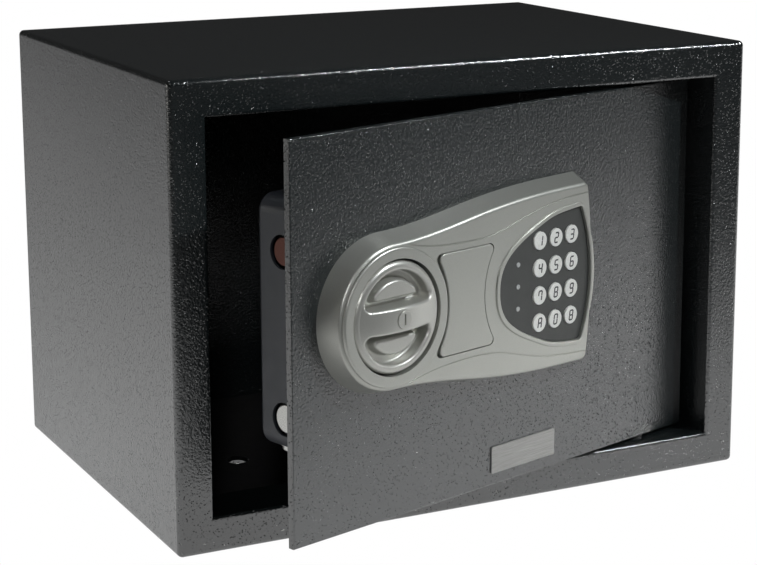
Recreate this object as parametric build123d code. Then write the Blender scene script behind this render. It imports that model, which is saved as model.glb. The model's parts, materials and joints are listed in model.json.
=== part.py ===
"""Electronic safe: folded steel housing, hinged door, knob-driven bolt work and key panel.

Millimetres and degrees.  The origin is the centre of the underside, +X is to the right
seen from the front, +Y to the back and +Z up.  The door assembly is modelled shut and
swung to its resting angle when it is written.  On the door, a place is given as u, from
the door's free edge towards the hinge, z, the height, and w in front of the door plate
or d behind it.
"""

import math
import os

from build123d import *

# Housing
box_width = 350.0
box_height = 250.0
box_depth = 250.0
wall = 2.0
bend_radius = 3.0
mouth_fold_radius = 2.0
round_slack = 0.01
lip_face = 20.0
lip_return = 32.0
back_thickness = 2.0
weld_gap = 0.1
anchor_diameter = 10.0
back_anchor_spacing = 180.0
base_anchor_spacing = 180.0

# Floor mat
mat_thickness = 2.0
mat_margin = 4.0
mat_hole_clearance = 2.0
soft_gap = 0.2

# Door plate and its place in the opening
door_recess = 8.0
door_thickness = 4.0
door_edge_radius = 0.6
free_side_gap = 1.5
hinge_side_gap = 7.0
door_height_gap = 2.0
rest_opening = 16.5

# Hinge
hinge_inset = 35.0
thrust_gap = 0.4
knuckle_radius = 6.0
knuckle_length = 30.0
pin_radius = 4.0
pin_fit = 0.05
pin_reach = 6.0
pin_chamfer = 0.6
bush_radius = 6.5
bush_head_radius = 8.0
bush_head = 1.6
bush_fit = 0.05

# Front panel moulding
panel_lift = 8.0
knob_u = 57.5
panel_height = 13.0
panel_end_radius = 41.5
panel_end_margin = 9.5
panel_half_end = 53.5
panel_bulge = 4.0
panel_swell = ((0.253, 44.5), (0.456, 49.0), (0.659, 52.0))
panel_slope = 4.2
panel_skin = 2.5
panel_edge_round = 2.5
panel_corner_radius = 4.0
panel_edge_blend = 0.1
well_floor = 2.0
crease_line = ((0.061, 36.0), (0.136, 33.2), (0.226, 31.6), (0.348, 30.8), (0.490, 32.2),
               (0.618, 37.0), (0.760, 41.6), (0.993, 44.4), (1.060, 44.8))
crease_width = 0.9
crease_depth = 0.7
collar_width = 6.0
collar_rise = 1.5
collar_round = 1.35
face_sink = 1.0
boss_radius = 4.0
boss_near = (22.0, 35.0)
boss_far = (10.0, 46.0)
boss_pilot_radius = 1.3
panel_screw_radius = 1.2
screw_head_radius = 3.0
screw_head_height = 1.8
panel_screw_reach = 7.0

# Knob and spindle
knob_radius = 29.0
knob_gap = 1.0
knob_back_gap = 1.0
knob_edge = 12.0
knob_shoulder = 14.5
knob_shoulder_inset = 3.0
knob_crown = 19.5
crown_middle = 15.6
crown_sag = 1.8
rim_inset = 0.8
rim_drop = 0.9
grip_width = 13.0
pocket_radius = 24.0
pocket_floor = 7.5
pocket_trough = 4.0
pocket_island = 13.0
island_draft = 12.0
island_inset = 2.4
cap_slot_half = 2.9
cap_gap = 0.1
above_knob = 2.0
pocket_rim_round = 1.6
island_round = 1.5
trough_round = 1.2
pocket_corner = 3.0
spindle_radius = 5.0
running_fit = 0.08
spindle_bush_radius = 7.0
spindle_bush_head_radius = 10.0
spindle_bush_head = 1.5
knob_cap_radius = 4.7
knob_cap_depth = 5.0
knob_cap_proud = 0.4
cap_slot_width = 1.2
cap_slot_depth = 1.0
knob_turn = 90.0

# Emergency lock and its cover
lock_offset = 52.5
cover_half_height = 27.0
cover_left = -23.5
cover_right = 20.0
cover_left_dip = 8.5
cover_right_dip = 9.0
cover_corner_radius = 3.0
cover_plate_thickness = 2.0
cover_gap = 0.4
cover_finger_gap = 2.2
cover_face = 13.2
cover_edge_round = 0.6
cover_leg_gap = 0.5
tray_floor = 5.0
tray_skin = 2.0
cover_leg_width = 5.0
cover_leg_height = 2.0
cover_leg_spacing = 44.0
lock_body_radius = 9.0
lock_flange_radius = 10.8
lock_flange = 1.5
lock_hole_gap = 0.3
lock_rear = 13.0
lock_nut_radius = 13.5
lock_nut_height = 3.0
plug_radius = 6.0
keyway_width = 1.4
keyway_height = 8.0
keyway_depth = 12.0
key_cam_radius = 7.5
key_cam_thickness = 2.0
key_pin_radius = 1.25
key_pin_orbit = 3.5
key_pin_overrun = 1.0
key_turn = 90.0

# Keypad
keys_from_lamps = 29.0
key_pitch_u = 12.5
key_pitch_z = 15.0
key_radius = 5.0
key_hole_gap = 0.3
key_proud = 0.9
key_edge_round = 0.5
key_flange = 1.0
key_flange_thickness = 0.9
key_travel = 0.8
key_stem_gap = 0.25
lamps_from_lock = 37.5
lamp_pitch = 12.0
lamp_radius = 1.3
lamp_hole_gap = 0.05
lamp_proud = 0.3
window_tip_reach = 15.0
window_end_reach = 19.5
window_half_height = 37.0
window_bulge = 7.5
window_swell = ((9.5, 19.5), (31.5, 31.0))
window_corner_radius = 2.0
window_recess = 1.2
window_rim = 3.0
window_rim_rise = 0.8
window_rim_round = 0.6
plate_gap = 0.3
keypad_thickness = 1.6
pad_thickness = 1.2
board_thickness = 1.6
board_gap = 0.2

# Name plate
badge_offset = 165.0
badge_height = 36.0
badge_width = 50.0
badge_tall = 15.0
badge_thickness = 0.8
badge_corner_radius = 0.8

# Lock cover behind the door
housing_left = 6.0
housing_below = 8.0
housing_above = 7.0
tray_side_gap = 6.8
housing_depth = 28.0
housing_wall = 1.5
housing_back_radius = 3.0
housing_corner_radius = 9.0
bolt_hole_gap = 1.2
standoff_radius = 3.0
standoff_left = 43.0
cover_screw_radius = 1.5
cover_screw_length = 8.0
cover_screw_head_radius = 3.2
cover_screw_head = 2.0
cover_screw_round = 0.8
cross_reach = 1.8
cross_half = 0.3
cross_depth = 1.0
pilot_spare = 1.0

# Bolt work
bolt_radius = 7.5
bolt_spacing = 85.0
bolt_lift = 2.5
bolt_length = 26.0
bolt_sink = 1.0
bolt_depth = 9.5
bolt_throw = 18.0
bolt_edge_round = 1.0
keeper_gap = 1.2
rivet_radius = 4.0
rivet_head_radius = 5.5
rivet_head = 1.5
tie_thickness = 2.5
tie_overhang = 8.0
tie_setback = 0.5
carriage_depth = 12.0
carriage_thickness = 2.0
carriage_half_height = 34.0
carriage_margin = 5.0
tail_width = 12.0
tail_drop = 19.0
tail_end = 102.0
crank_pin_radius = 2.5
crank_slot_gap = 0.5
crank_slot_end_gap = 0.6
crank_plate_depth = 3.0
crank_plate_thickness = 3.0
crank_rim = 4.0
pin_overrun = 2.0
post_radius = 3.0
post_head_radius = 5.0
post_head = 1.5
post_gap = 0.3
post_u = 50.0
post_half_spacing = 27.0

# Base plate of the lock
base_thickness = 2.0
base_left = 11.5
base_right = 94.0
base_below = 9.0
base_above = 20.0
base_arm_right = 106.0
base_arm_height = 42.0
guide_thickness = 2.0
guide_depth = 19.0
guide_fit = 0.08
tab_width = 9.0
tab_thickness = 1.5
tab_gap = 0.2
side_screw_depth = 20.0
side_screw_inset = 4.5
side_screw_radius = 2.0
side_screw_head_radius = 4.5
side_screw_head = 3.0
side_screw_length = 6.0
side_washer_radius = 5.5
side_washer = 0.8
side_screw_round = 1.0
stud_radius = 2.0
stud_length = 6.5
stud_hole_gap = 0.4
stud_fit = 0.05
nut_across = 7.0
nut_height = 3.2
stud_columns = (60.0, 86.0, 98.0)
stud_inset = 7.0

# Solenoid
plunger_u = 90.0
plunger_radius = 4.0
plunger_depth = 13.0
plunger_gap = 0.3
plunger_top_reach = 6.0
coil_radius = 9.0
coil_bore_gap = 0.3
coil_drop = 42.5
coil_length = 29.0
frame_thickness = 1.5
frame_half_width = 13.0
frame_depth = 20.0
frame_fit_gap = 0.2
collar_radius = 6.0
collar_drop = 5.0
collar_thickness = 2.0
flat_overrun = 1.0
flat_gap = 0.2
lifter_setback = 0.5
spring_wire_radius = 0.4
spring_radius = 5.0
spring_turns = 5.0
spring_seat_gap = 0.2
lifter_thickness = 1.5
lifter_drop = 11.5
lifter_strip = 6.0
lifter_overlap = 3.5
lifter_slot_gap = 0.4
lifter_head = 5.0

# Control board
board_left = 108.0
board_width = 40.0
board_tall = 39.5
board_rise = 6.5
board_stand = 5.0
spacer_radius = 2.2
spacer_inset = 3.5
spacer_cap = 1.0
switch_place = (30.0, 7.5)
switch_size = 6.0
switch_height = 3.9
chip_place = (20.0, 16.0)
chip_size = (12.0, 8.0, 2.2)
relay_place = (6.0, 24.5)
relay_size = (10.0, 14.0, 7.0)
capacitor_place = (8.0, 9.0)
capacitor_radius = 3.2
capacitor_height = 9.0
socket_size = (6.4, 4.8, 5.5)
socket_drop = 12.0
socket_places = (19.0, 28.0, 36.3)
reset_radius = 3.0
reset_hole_gap = 0.4
reset_proud = 1.5
reset_travel = 1.5
reset_gap = 0.3
reset_collar_radius = 4.5
reset_collar = 1.0
reset_edge_round = 0.5

# Battery compartment
battery_radius = 7.1
battery_length = 50.2
battery_nub_radius = 2.7
battery_nub = 1.2
battery_pitch = 14.8
battery_count = 4
battery_chamfer = 0.6
contact_thickness = 0.5
contact_room = 1.5
contact_half = 4.75
contact_clearance = 0.2
tray_wall = 1.5
tray_board_gap = 4.0
tray_depth_from = 7.5
tray_depth_to = 24.0
tray_foot_radius = 3.0
tray_foot_inset = 4.0
lid_margin = 1.0
lid_gap = 0.35
lid_thickness = 1.5
lid_rib_count = 5
lid_rib_pitch = 3.0
lid_rib = 0.5
lid_rib_drop = 8.0
lid_rib_half_length = 10.0
lid_rib_half_width = 0.6
lid_corner_radius = 1.5

# Leads
lead_radius = 1.2
lead_bend = 5.0
lead_end_bend = 2.4
lead_rise = 5.0
lead_end_gap = 0.1
lead_hole_radius = 3.0
tray_lead_rise = 12.5

# Worked-out places: housing
half_width = box_width / 2
front_y = -box_depth / 2
back_y = box_depth / 2
mouth_half = half_width - lip_face
mouth_low = lip_face
mouth_high = box_height - lip_face
flange_back = front_y + lip_return
shell_front = front_y + bend_radius
inner_half = half_width - wall
floor_z = wall
ceiling_z = box_height - wall
back_inner = back_y - back_thickness

# Worked-out places: door
plate_left = -mouth_half + free_side_gap
plate_right = mouth_half - hinge_side_gap
plate_low = mouth_low + door_height_gap
plate_high = mouth_high - door_height_gap
plate_front = front_y + door_recess
plate_back = plate_front + door_thickness
hinge_x = plate_right - hinge_inset
hinge_y = plate_back + knuckle_radius
hinge_axis = Axis((hinge_x, hinge_y, 0), (0, 0, 1))

# Worked-out places: panel, knob and keypad
door_mid = box_height / 2
panel_z = door_mid + panel_lift
lock_u = knob_u + lock_offset
lamps_u = lock_u + lamps_from_lock
keys_u = lamps_u + keys_from_lamps
window_tip = lamps_u - window_tip_reach - knob_u
window_end = keys_u + window_end_reach - knob_u
panel_length = window_end + panel_end_margin
well_radius = knob_radius + knob_gap
keypad_face = panel_height - window_recess
keypad_back = keypad_face - keypad_thickness
key_top = keypad_face + key_proud
flange_top = keypad_back - key_hole_gap
flange_bottom = flange_top - key_flange_thickness
pad_top = flange_bottom - key_travel - key_stem_gap
pad_bottom = pad_top - pad_thickness
board_top = pad_bottom - board_gap
board_bottom = board_top - board_thickness

# Worked-out places: lock cover and bolt work
bolt_mid = door_mid + bolt_lift
bolt_heights = (bolt_mid + bolt_spacing / 2, bolt_mid - bolt_spacing / 2)
base_low = bolt_heights[1] - base_below
base_high = bolt_heights[0] + base_above
base_arm_low = base_high - base_arm_height
housing_low = base_low - housing_below
housing_high = base_high + housing_above
bolt_tip = housing_left + bolt_sink
tie_u = bolt_tip + bolt_length
crank_orbit = bolt_throw / 2 / math.sin(math.radians(knob_turn / 2))
crank_u = knob_u + bolt_throw / 2
crank_rise = crank_orbit * math.cos(math.radians(knob_turn / 2))
carriage_back = carriage_depth + carriage_thickness
slot_half_width = crank_pin_radius + crank_slot_gap
slot_low = panel_z + crank_rise - crank_pin_radius - crank_slot_end_gap
slot_high = panel_z + crank_orbit + crank_pin_radius + crank_slot_end_gap
carriage_right = crank_u + slot_half_width + carriage_margin
tail_low = panel_z - tail_drop - tail_width / 2
tail_high = tail_low + tail_width
plunger_tip = tail_high + plunger_gap
coil_low = base_high - coil_drop
collar_low = panel_z - collar_drop
lifter_low = panel_z - lifter_drop
solenoid_low = coil_low - frame_thickness
solenoid_high = coil_low + coil_length + frame_thickness
plunger_top = solenoid_high + plunger_top_reach
key_pin_low = key_pin_orbit * math.sin(math.radians(key_turn / 2))
key_cam_depth = lock_rear + lock_hole_gap
lifter_depth = key_cam_depth + key_cam_thickness + lifter_setback
board_right = board_left + board_width
board_low = housing_low + board_rise
board_high = board_low + board_tall
switch_u = board_left + switch_place[0]
switch_z = board_low + switch_place[1]
tray_left = board_right + tray_board_gap
tray_width = battery_count * battery_pitch + 2 * tray_wall
tray_length = battery_length + battery_nub + 2 * contact_room + 2 * tray_wall
tray_mid_u = tray_left + tray_width / 2
tray_mid_z = (housing_low + housing_high) / 2
tray_low = tray_mid_z - tray_length / 2
housing_right = tray_left + tray_width + tray_side_gap
battery_depth = tray_depth_from + tray_wall + battery_radius + soft_gap

os.makedirs("parts", exist_ok=True)


def block(x0, x1, y0, y1, z0, z1):
    """A box between two corners."""
    middle = Pos((x0 + x1) / 2, (y0 + y1) / 2, (z0 + z1) / 2)
    return middle * Box(x1 - x0, y1 - y0, z1 - z0)


def rod(start, end, radius):
    """A round bar from one point to another."""
    along = Vector(*end) - Vector(*start)
    seat = Plane(origin=start, z_dir=along)
    bottom = (Align.CENTER, Align.CENTER, Align.MIN)
    return seat * Cylinder(radius, along.length, align=bottom)


def front_block(u0, u1, z0, z1, w0, w1):
    """A box in front of the door plate."""
    return block(plate_left + u0, plate_left + u1, plate_front - w1, plate_front - w0, z0, z1)


def rear_block(u0, u1, z0, z1, d0, d1):
    """A box behind the door plate."""
    return block(plate_left + u0, plate_left + u1, plate_back + d0, plate_back + d1, z0, z1)


def front_rod(u, z, radius, w0, w1):
    """A round bar square to the door, in front of its plate."""
    x = plate_left + u
    return rod((x, plate_front - w0, z), (x, plate_front - w1, z), radius)


def rear_rod(u, z, radius, d0, d1):
    """A round bar square to the door, behind its plate."""
    x = plate_left + u
    return rod((x, plate_back + d0, z), (x, plate_back + d1, z), radius)


def front_slab(outline, w0, w1, draft=0.0):
    """An outline drawn in u and z, thickened in front of the door plate."""
    seat = Plane(origin=(plate_left, plate_front - w0, 0), x_dir=(1, 0, 0), z_dir=(0, -1, 0))
    return extrude(seat * outline, amount=w1 - w0, taper=draft)


def rear_hex(u, z, across, d0, d1):
    """A hexagon nut's body behind the door plate."""
    seat = Plane(origin=(plate_left + u, plate_back + d0, z), x_dir=(1, 0, 0), z_dir=(0, 1, 0))
    return extrude(seat * RegularPolygon(across / math.sqrt(3), 6), amount=d1 - d0)


def solids_of(pieces):
    """Several separate solids kept together as one node."""
    return Compound([solid for piece in pieces for solid in piece.solids()])


def swung(shape):
    """A shape of the shut door, turned to the door's resting angle."""
    return shape.rotate(hinge_axis, rest_opening)


def write(name, shape, on_door=True):
    """One node's STEP file."""
    placed = swung(shape) if on_door else shape
    export_step(placed, "parts/" + name + ".step")


# ---------------------------------------------------------------- housing

def make_body_shell():
    """Top, bottom and side walls folded from one sheet, open at the front and back."""
    outer = block(-half_width, half_width, shell_front, back_y, 0, box_height)
    outer = fillet(outer.edges().filter_by(Axis.Y), bend_radius)
    inner = block(-inner_half, inner_half, shell_front, back_y, floor_z, ceiling_z)
    inner = fillet(inner.edges().filter_by(Axis.Y), bend_radius - wall)
    shell = outer - inner
    for side in (-1, 1):
        x = side * base_anchor_spacing / 2
        shell -= rod((x, 0, 0), (x, 0, wall), anchor_diameter / 2)
    return shell


def make_front_frame():
    """Front face with rounded folds, and the flange folded in round the mouth."""
    outer = block(-half_width, half_width, front_y, shell_front, 0, box_height)
    outer = fillet(outer.edges().filter_by(Axis.Y), bend_radius)
    front_face = outer.faces().sort_by(Axis.Y)[0]
    outer = fillet(front_face.edges(), bend_radius - round_slack)
    inner = block(-inner_half, inner_half, front_y + wall, shell_front, floor_z, ceiling_z)
    inner = fillet(inner.edges().filter_by(Axis.Y), bend_radius - wall)
    flange_half = mouth_half + wall
    flange = block(-flange_half, flange_half, front_y + wall, flange_back,
                   mouth_low - wall, mouth_high + wall)
    mouth = block(-mouth_half, mouth_half, front_y, flange_back, mouth_low, mouth_high)
    frame = outer - inner + flange - mouth
    mouth_edges = frame.edges().filter_by(is_mouth_edge)
    frame = fillet(mouth_edges, mouth_fold_radius)
    for z in bolt_heights:
        y = plate_back + bolt_depth
        hole_radius = bolt_radius + keeper_gap
        frame -= rod((-flange_half, y, z), (-mouth_half, y, z), hole_radius)
    for z0, z1 in ((mouth_low - wall, mouth_low), (mouth_high, mouth_high + wall)):
        frame -= rod((hinge_x, hinge_y, z0), (hinge_x, hinge_y, z1), bush_radius)
    return frame


def is_mouth_edge(edge):
    """Whether an edge is one of the four front edges round the mouth."""
    middle = edge.position_at(0.5)
    on_front = abs(middle.Y - front_y) < round_slack
    in_width = abs(middle.X) < mouth_half + round_slack
    in_height = mouth_low - round_slack < middle.Z < mouth_high + round_slack
    return on_front and in_width and in_height


def make_back_panel():
    """Flat sheet welded between the walls, with two anchor holes."""
    half = inner_half - weld_gap
    panel = block(-half, half, back_inner, back_y, floor_z + weld_gap, ceiling_z - weld_gap)
    panel = fillet(panel.edges().filter_by(Axis.Y), bend_radius - wall)
    for side in (-1, 1):
        x = side * back_anchor_spacing / 2
        hole = rod((x, back_inner, box_height / 2), (x, back_y, box_height / 2), anchor_diameter / 2)
        panel -= hole
    return panel


def make_floor_mat():
    """Felt mat laid on the floor, behind the front flange, with holes over the anchors."""
    bottom = floor_z + soft_gap
    half = inner_half - mat_margin
    mat = block(-half, half, flange_back + mat_margin, back_inner - mat_margin,
                bottom, bottom + mat_thickness)
    mat = fillet(mat.edges().filter_by(Axis.Z), mat_margin)
    for side in (-1, 1):
        x = side * base_anchor_spacing / 2
        radius = anchor_diameter / 2 + mat_hole_clearance
        mat -= rod((x, 0, bottom), (x, 0, bottom + mat_thickness), radius)
    return mat


def make_hinge_bushes():
    """Nylon bushes in the flange: a head inside the mouth, a sleeve through the sheet."""
    bushes = []
    for face_z, inward in ((mouth_low, 1), (mouth_high, -1)):
        seat = (hinge_x, hinge_y, face_z)
        inner_end = (hinge_x, hinge_y, face_z + inward * bush_head)
        outer_end = (hinge_x, hinge_y, face_z - inward * wall)
        head = rod(seat, inner_end, bush_head_radius)
        sleeve = rod(seat, outer_end, bush_radius - bush_fit)
        bushes.append(head + sleeve - rod(inner_end, outer_end, pin_radius + running_fit))
    return solids_of(bushes)


# ---------------------------------------------------------------- door plate and hinge

def make_door_plate():
    """Flat steel plate, bored for the spindle, the emergency lock, the leads and screws."""
    plate = block(plate_left, plate_right, plate_front, plate_back, plate_low, plate_high)
    plate = fillet(plate.faces().sort_by(Axis.Y)[0].edges(), door_edge_radius)
    holes = [rear_rod(knob_u, panel_z, spindle_bush_radius, -door_thickness, 0)]
    holes.append(rear_rod(lock_u, panel_z, lock_body_radius + lock_hole_gap, -door_thickness, 0))
    lead_u = board_left + socket_places[1]
    holes.append(rear_rod(lead_u, panel_z, lead_hole_radius, -door_thickness, 0))
    for u, z in panel_boss_centres():
        holes.append(rear_rod(u, z, panel_screw_radius + lock_hole_gap, -door_thickness, 0))
    for hole in holes:
        plate -= hole
    return plate


def knuckle_spans():
    """Lower and upper end of each knuckle, set just clear of the bush heads."""
    low = mouth_low + bush_head + thrust_gap
    high = mouth_high - bush_head - thrust_gap
    return ((low, low + knuckle_length), (high - knuckle_length, high))


def make_hinge_knuckles():
    """Two bored blocks welded to the back of the plate at its hinge side."""
    knuckles = []
    for z0, z1 in knuckle_spans():
        barrel = rod((hinge_x, hinge_y, z0), (hinge_x, hinge_y, z1), knuckle_radius)
        foot = block(hinge_x - knuckle_radius, hinge_x + knuckle_radius, plate_back, hinge_y, z0, z1)
        bore = rod((hinge_x, hinge_y, z0), (hinge_x, hinge_y, z1), pin_radius + pin_fit)
        knuckles.append(barrel + foot - bore)
    return solids_of(knuckles)


def make_hinge_pins():
    """Two pins held in the knuckles, each running through its bush in the flange."""
    low_span, high_span = knuckle_spans()
    pins = []
    for z0, z1 in (
        (mouth_low - wall - pin_reach, low_span[1]),
        (high_span[0], mouth_high + wall + pin_reach),
    ):
        pin = rod((hinge_x, hinge_y, z0), (hinge_x, hinge_y, z1), pin_radius)
        pins.append(chamfer(pin.edges().filter_by(GeomType.CIRCLE), pin_chamfer))
    return solids_of(pins)


# ---------------------------------------------------------------- front panel

def panel_outline(inset=0.0):
    """Foot of the panel: round about the knob, swelling to a blunt, bulging end."""
    radius = panel_end_radius - inset
    swell = [(share * panel_length, half - inset) for share, half in panel_swell]
    upper = Spline([(0, radius), *swell, (panel_length - inset, panel_half_end - inset)],
                   tangents=[(1, 0), (1, 0.02)])
    lower = mirror(upper, Plane.XZ)
    tip = ThreePointArc((0, radius), (-radius, 0), (0, -radius))
    end_u = panel_length - inset
    end_z = panel_half_end - inset
    far = ThreePointArc((end_u, end_z), (end_u + panel_bulge, 0), (end_u, -end_z))
    outline = make_face(Curve() + [tip, upper, far, lower])
    corners = outline.vertices().sort_by(Axis.X)[-2:]
    return Pos(knob_u, panel_z) * fillet(corners, panel_corner_radius)


def window_outline(grow=0.0):
    """Keypad window: a blunt leaf, pointing at the knob and bulging at its far side."""
    slant = grow * math.sin(math.radians(45))
    swell = [(window_tip + a - slant, b + slant) for a, b in window_swell]
    end = (window_end, window_half_height + grow)
    tip = (window_tip - grow, 0)
    upper = Spline([tip, *swell, end], tangents=[(0, 1), (1, 0.08)])
    lower = mirror(upper, Plane.XZ)
    far = ThreePointArc(end, (window_end + window_bulge + grow, 0), (end[0], -end[1]))
    outline = make_face(Curve() + [upper, far, lower])
    corners = outline.vertices().sort_by(Axis.X)[-2:]
    return Pos(knob_u, panel_z) * fillet(corners, window_corner_radius + grow)


def cover_outline(grow=0.0, grow_left=0.0):
    """Emergency-lock cover: a rectangle with both upright sides curved inwards."""
    left = cover_left - grow - grow_left
    right = cover_right + grow
    top = cover_half_height + grow
    edges = [
        Line((left, top), (right, top)),
        ThreePointArc((right, top), (right - cover_right_dip, 0), (right, -top)),
        Line((right, -top), (left, -top)),
        ThreePointArc((left, -top), (left + cover_left_dip, 0), (left, top)),
    ]
    outline = make_face(Curve() + edges)
    return Pos(lock_u, panel_z) * fillet(outline.vertices(), cover_corner_radius)


def crease_outline():
    """Narrow strip along the upper crease, from the knob's collar out through the far end."""
    half = crease_width / 2
    middle = [(share * panel_length, height) for share, height in crease_line]
    upper = Spline([(a, b + half) for a, b in middle])
    lower = Spline([(a, b - half) for a, b in middle])
    ends = [Line(upper @ at, lower @ at) for at in (0, 1)]
    return make_face(Curve() + [upper, lower, *ends])


def panel_form(inset, height):
    """Solid form of the panel, its sides leaning in towards the face."""
    lean = panel_slope * height / panel_height
    foot, top = (
        Plane(origin=(plate_left, plate_front - w, 0), x_dir=(1, 0, 0), z_dir=(0, -1, 0))
        * panel_outline(inset + in_here)
        for w, in_here in ((0, 0), (height, lean))
    )
    return loft([foot, top], ruled=True)


def panel_boss_centres():
    """Places of the four screw bosses under the panel."""
    near_u, near_half = boss_near
    far_inset, far_half = boss_far
    far_u = panel_length - far_inset
    places = ((near_u, near_half), (near_u, -near_half), (far_u, far_half), (far_u, -far_half))
    return [(knob_u + a, panel_z + b) for a, b in places]


def make_panel_housing():
    """Moulded panel: a drafted shell with the knob's well, the lock tray and the window."""
    body = panel_form(0, panel_height)
    body = fillet(body.faces().sort_by(Axis.Y)[0].edges(), panel_edge_round)
    shell = body - panel_form(panel_skin, panel_height - panel_skin)
    under_face = panel_height - panel_edge_blend
    supports = [
        front_rod(knob_u, panel_z, well_radius + tray_skin, 0, under_face),
        front_slab(cover_outline(tray_skin, cover_finger_gap), tray_floor, under_face),
        front_slab(window_outline(tray_skin), 0, under_face),
    ]
    for u, z in panel_boss_centres():
        supports.append(front_rod(u, z, boss_radius, 0, under_face))
    for support in supports:
        shell += support & body
    collar_top = panel_height + collar_rise
    collar = front_rod(knob_u, panel_z, well_radius + collar_width, panel_height - face_sink, collar_top)
    collar = fillet(collar.edges().sort_by(Axis.Y)[0], collar_round)
    rim_top = panel_height + window_rim_rise
    window_frame = front_slab(window_outline(window_rim), panel_height - face_sink, rim_top)
    window_frame -= front_slab(window_outline(plate_gap), panel_height - face_sink, rim_top)
    window_frame = fillet(window_frame.faces().sort_by(Axis.Y)[0].edges(), window_rim_round)
    shell = shell + collar + window_frame
    return shell - panel_openings()


def panel_openings():
    """What is cut from the panel: well, window, lock tray, leg slots and screw pilots."""
    above = panel_height * 2
    bush_room = spindle_bush_head_radius + lock_hole_gap
    cuts = front_rod(knob_u, panel_z, well_radius, well_floor, above)
    cuts += front_rod(knob_u, panel_z, bush_room, 0, well_floor)
    cuts += front_slab(window_outline(plate_gap), board_bottom, above)
    cuts += front_slab(window_outline(-window_rim / 2), 0, board_bottom)
    cuts += front_slab(cover_outline(cover_gap, cover_finger_gap), tray_floor + tray_skin, above)
    cuts += front_rod(lock_u, panel_z, lock_body_radius + lock_hole_gap, tray_floor, panel_height)
    upper_crease = crease_outline()
    for crease in (upper_crease, mirror(upper_crease, Plane.XZ)):
        cuts += front_slab(Pos(knob_u, panel_z) * crease, panel_height - crease_depth, above)
    half = cover_leg_width / 2 + cover_gap
    tall = cover_leg_height / 2 + cover_gap
    for side in (-1, 1):
        z = panel_z + side * cover_leg_spacing / 2
        cuts += front_block(lock_u - half, lock_u + half, z - tall, z + tall, 0, panel_height)
    for u, z in panel_boss_centres():
        cuts += front_rod(u, z, boss_pilot_radius, 0, panel_height - panel_skin)
    return cuts


def make_panel_screws():
    """Four screws through the door plate into the panel's bosses."""
    screws = []
    for u, z in panel_boss_centres():
        shank = rear_rod(u, z, panel_screw_radius, -door_thickness - panel_screw_reach, 0)
        head = rear_rod(u, z, screw_head_radius, 0, screw_head_height)
        screws.append(shank + head)
    return solids_of(screws)


# ---------------------------------------------------------------- knob and spindle

def d_shape(radius, flat, corner):
    """Half-moon outline above a chord that lies at the given distance from the centre."""
    disc = Circle(radius)
    keep = Pos(0, flat + radius) * Rectangle(4 * radius, 2 * radius)
    outline = disc & keep
    return fillet(outline.vertices(), corner)


def make_knob():
    """Crowned disc with two half-moon pockets that leave a grip bar across the middle."""
    back = well_floor + knob_back_gap
    shoulder = (knob_radius - knob_shoulder_inset, knob_shoulder)
    edge = (knob_radius, knob_edge)
    crown = ThreePointArc((0, knob_crown), (crown_middle, knob_crown - crown_sag), shoulder)
    rim = ThreePointArc(shoulder, (knob_radius - rim_inset, knob_shoulder - rim_drop), edge)
    rest = Polyline(edge, (knob_radius, back), (0, back), (0, knob_crown))
    profile = make_face(Curve() + [crown, rim, rest])
    centre = (plate_left + knob_u, plate_front, panel_z)
    seat = Plane(origin=centre, x_dir=(1, 0, 0), z_dir=(0, 0, -1))
    knob = revolve(seat * profile, Axis(centre, (0, 1, 0)), 360)
    pocket = d_shape(pocket_radius, grip_width / 2, pocket_corner)
    island = d_shape(pocket_radius - pocket_trough, grip_width / 2 + island_inset, pocket_corner)
    above = knob_crown + above_knob
    for turn in (0, 180):
        spot = Pos(knob_u, panel_z) * Rot(0, 0, turn)
        cut = front_slab(spot * pocket, pocket_floor, above)
        knob -= cut - front_slab(spot * island, pocket_floor, pocket_island, island_draft)
    knob = fillet(knob.edges().filter_by(is_pocket_rim), pocket_rim_round)
    knob = fillet(knob.edges().filter_by(lies_at(pocket_island)), island_round)
    knob = fillet(knob.edges().filter_by(lies_at(pocket_floor)), trough_round)
    return knob - front_rod(knob_u, panel_z, knob_cap_radius + cap_gap,
                            knob_crown - knob_cap_depth, above)


def is_pocket_rim(edge):
    """Whether an edge of the knob bounds a pocket on the knob's crown."""
    box = edge.bounding_box()
    lowest = plate_front - box.max.Y
    reach = max(abs(box.min.X - plate_left - knob_u), abs(box.max.X - plate_left - knob_u),
                abs(box.min.Z - panel_z), abs(box.max.Z - panel_z))
    return lowest > pocket_island + round_slack and reach < pocket_radius + rim_inset


def lies_at(w):
    """A test for edges that lie flat at one distance in front of the door."""
    def flat(edge):
        box = edge.bounding_box()
        near, far = plate_front - box.max.Y, plate_front - box.min.Y
        return abs(near - w) < round_slack and abs(far - w) < round_slack
    return flat


def make_knob_cap():
    """Slotted plug over the knob's fixing."""
    bottom = knob_crown - knob_cap_depth
    top = knob_crown + knob_cap_proud
    cap = front_rod(knob_u, panel_z, knob_cap_radius, bottom, top)
    cap = fillet(cap.edges().sort_by(Axis.Y)[0], knob_cap_proud)
    half = cap_slot_width / 2
    slot = front_block(knob_u - half, knob_u + half, panel_z - cap_slot_half,
                       panel_z + cap_slot_half, top - cap_slot_depth, top)
    return cap - slot


def make_knob_spindle():
    """Spindle from the knob through the door, with the crank plate and its pin."""
    spindle = front_rod(knob_u, panel_z, spindle_radius, -door_thickness, well_floor + knob_back_gap)
    end = crank_plate_depth + crank_plate_thickness
    spindle += rear_rod(knob_u, panel_z, spindle_radius, 0, end)
    spindle += rear_rod(knob_u, panel_z, crank_orbit + crank_rim, crank_plate_depth, end)
    pin_z = panel_z + crank_rise
    spindle += rear_rod(crank_u, pin_z, crank_pin_radius, end, carriage_back + pin_overrun)
    return spindle


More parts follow.
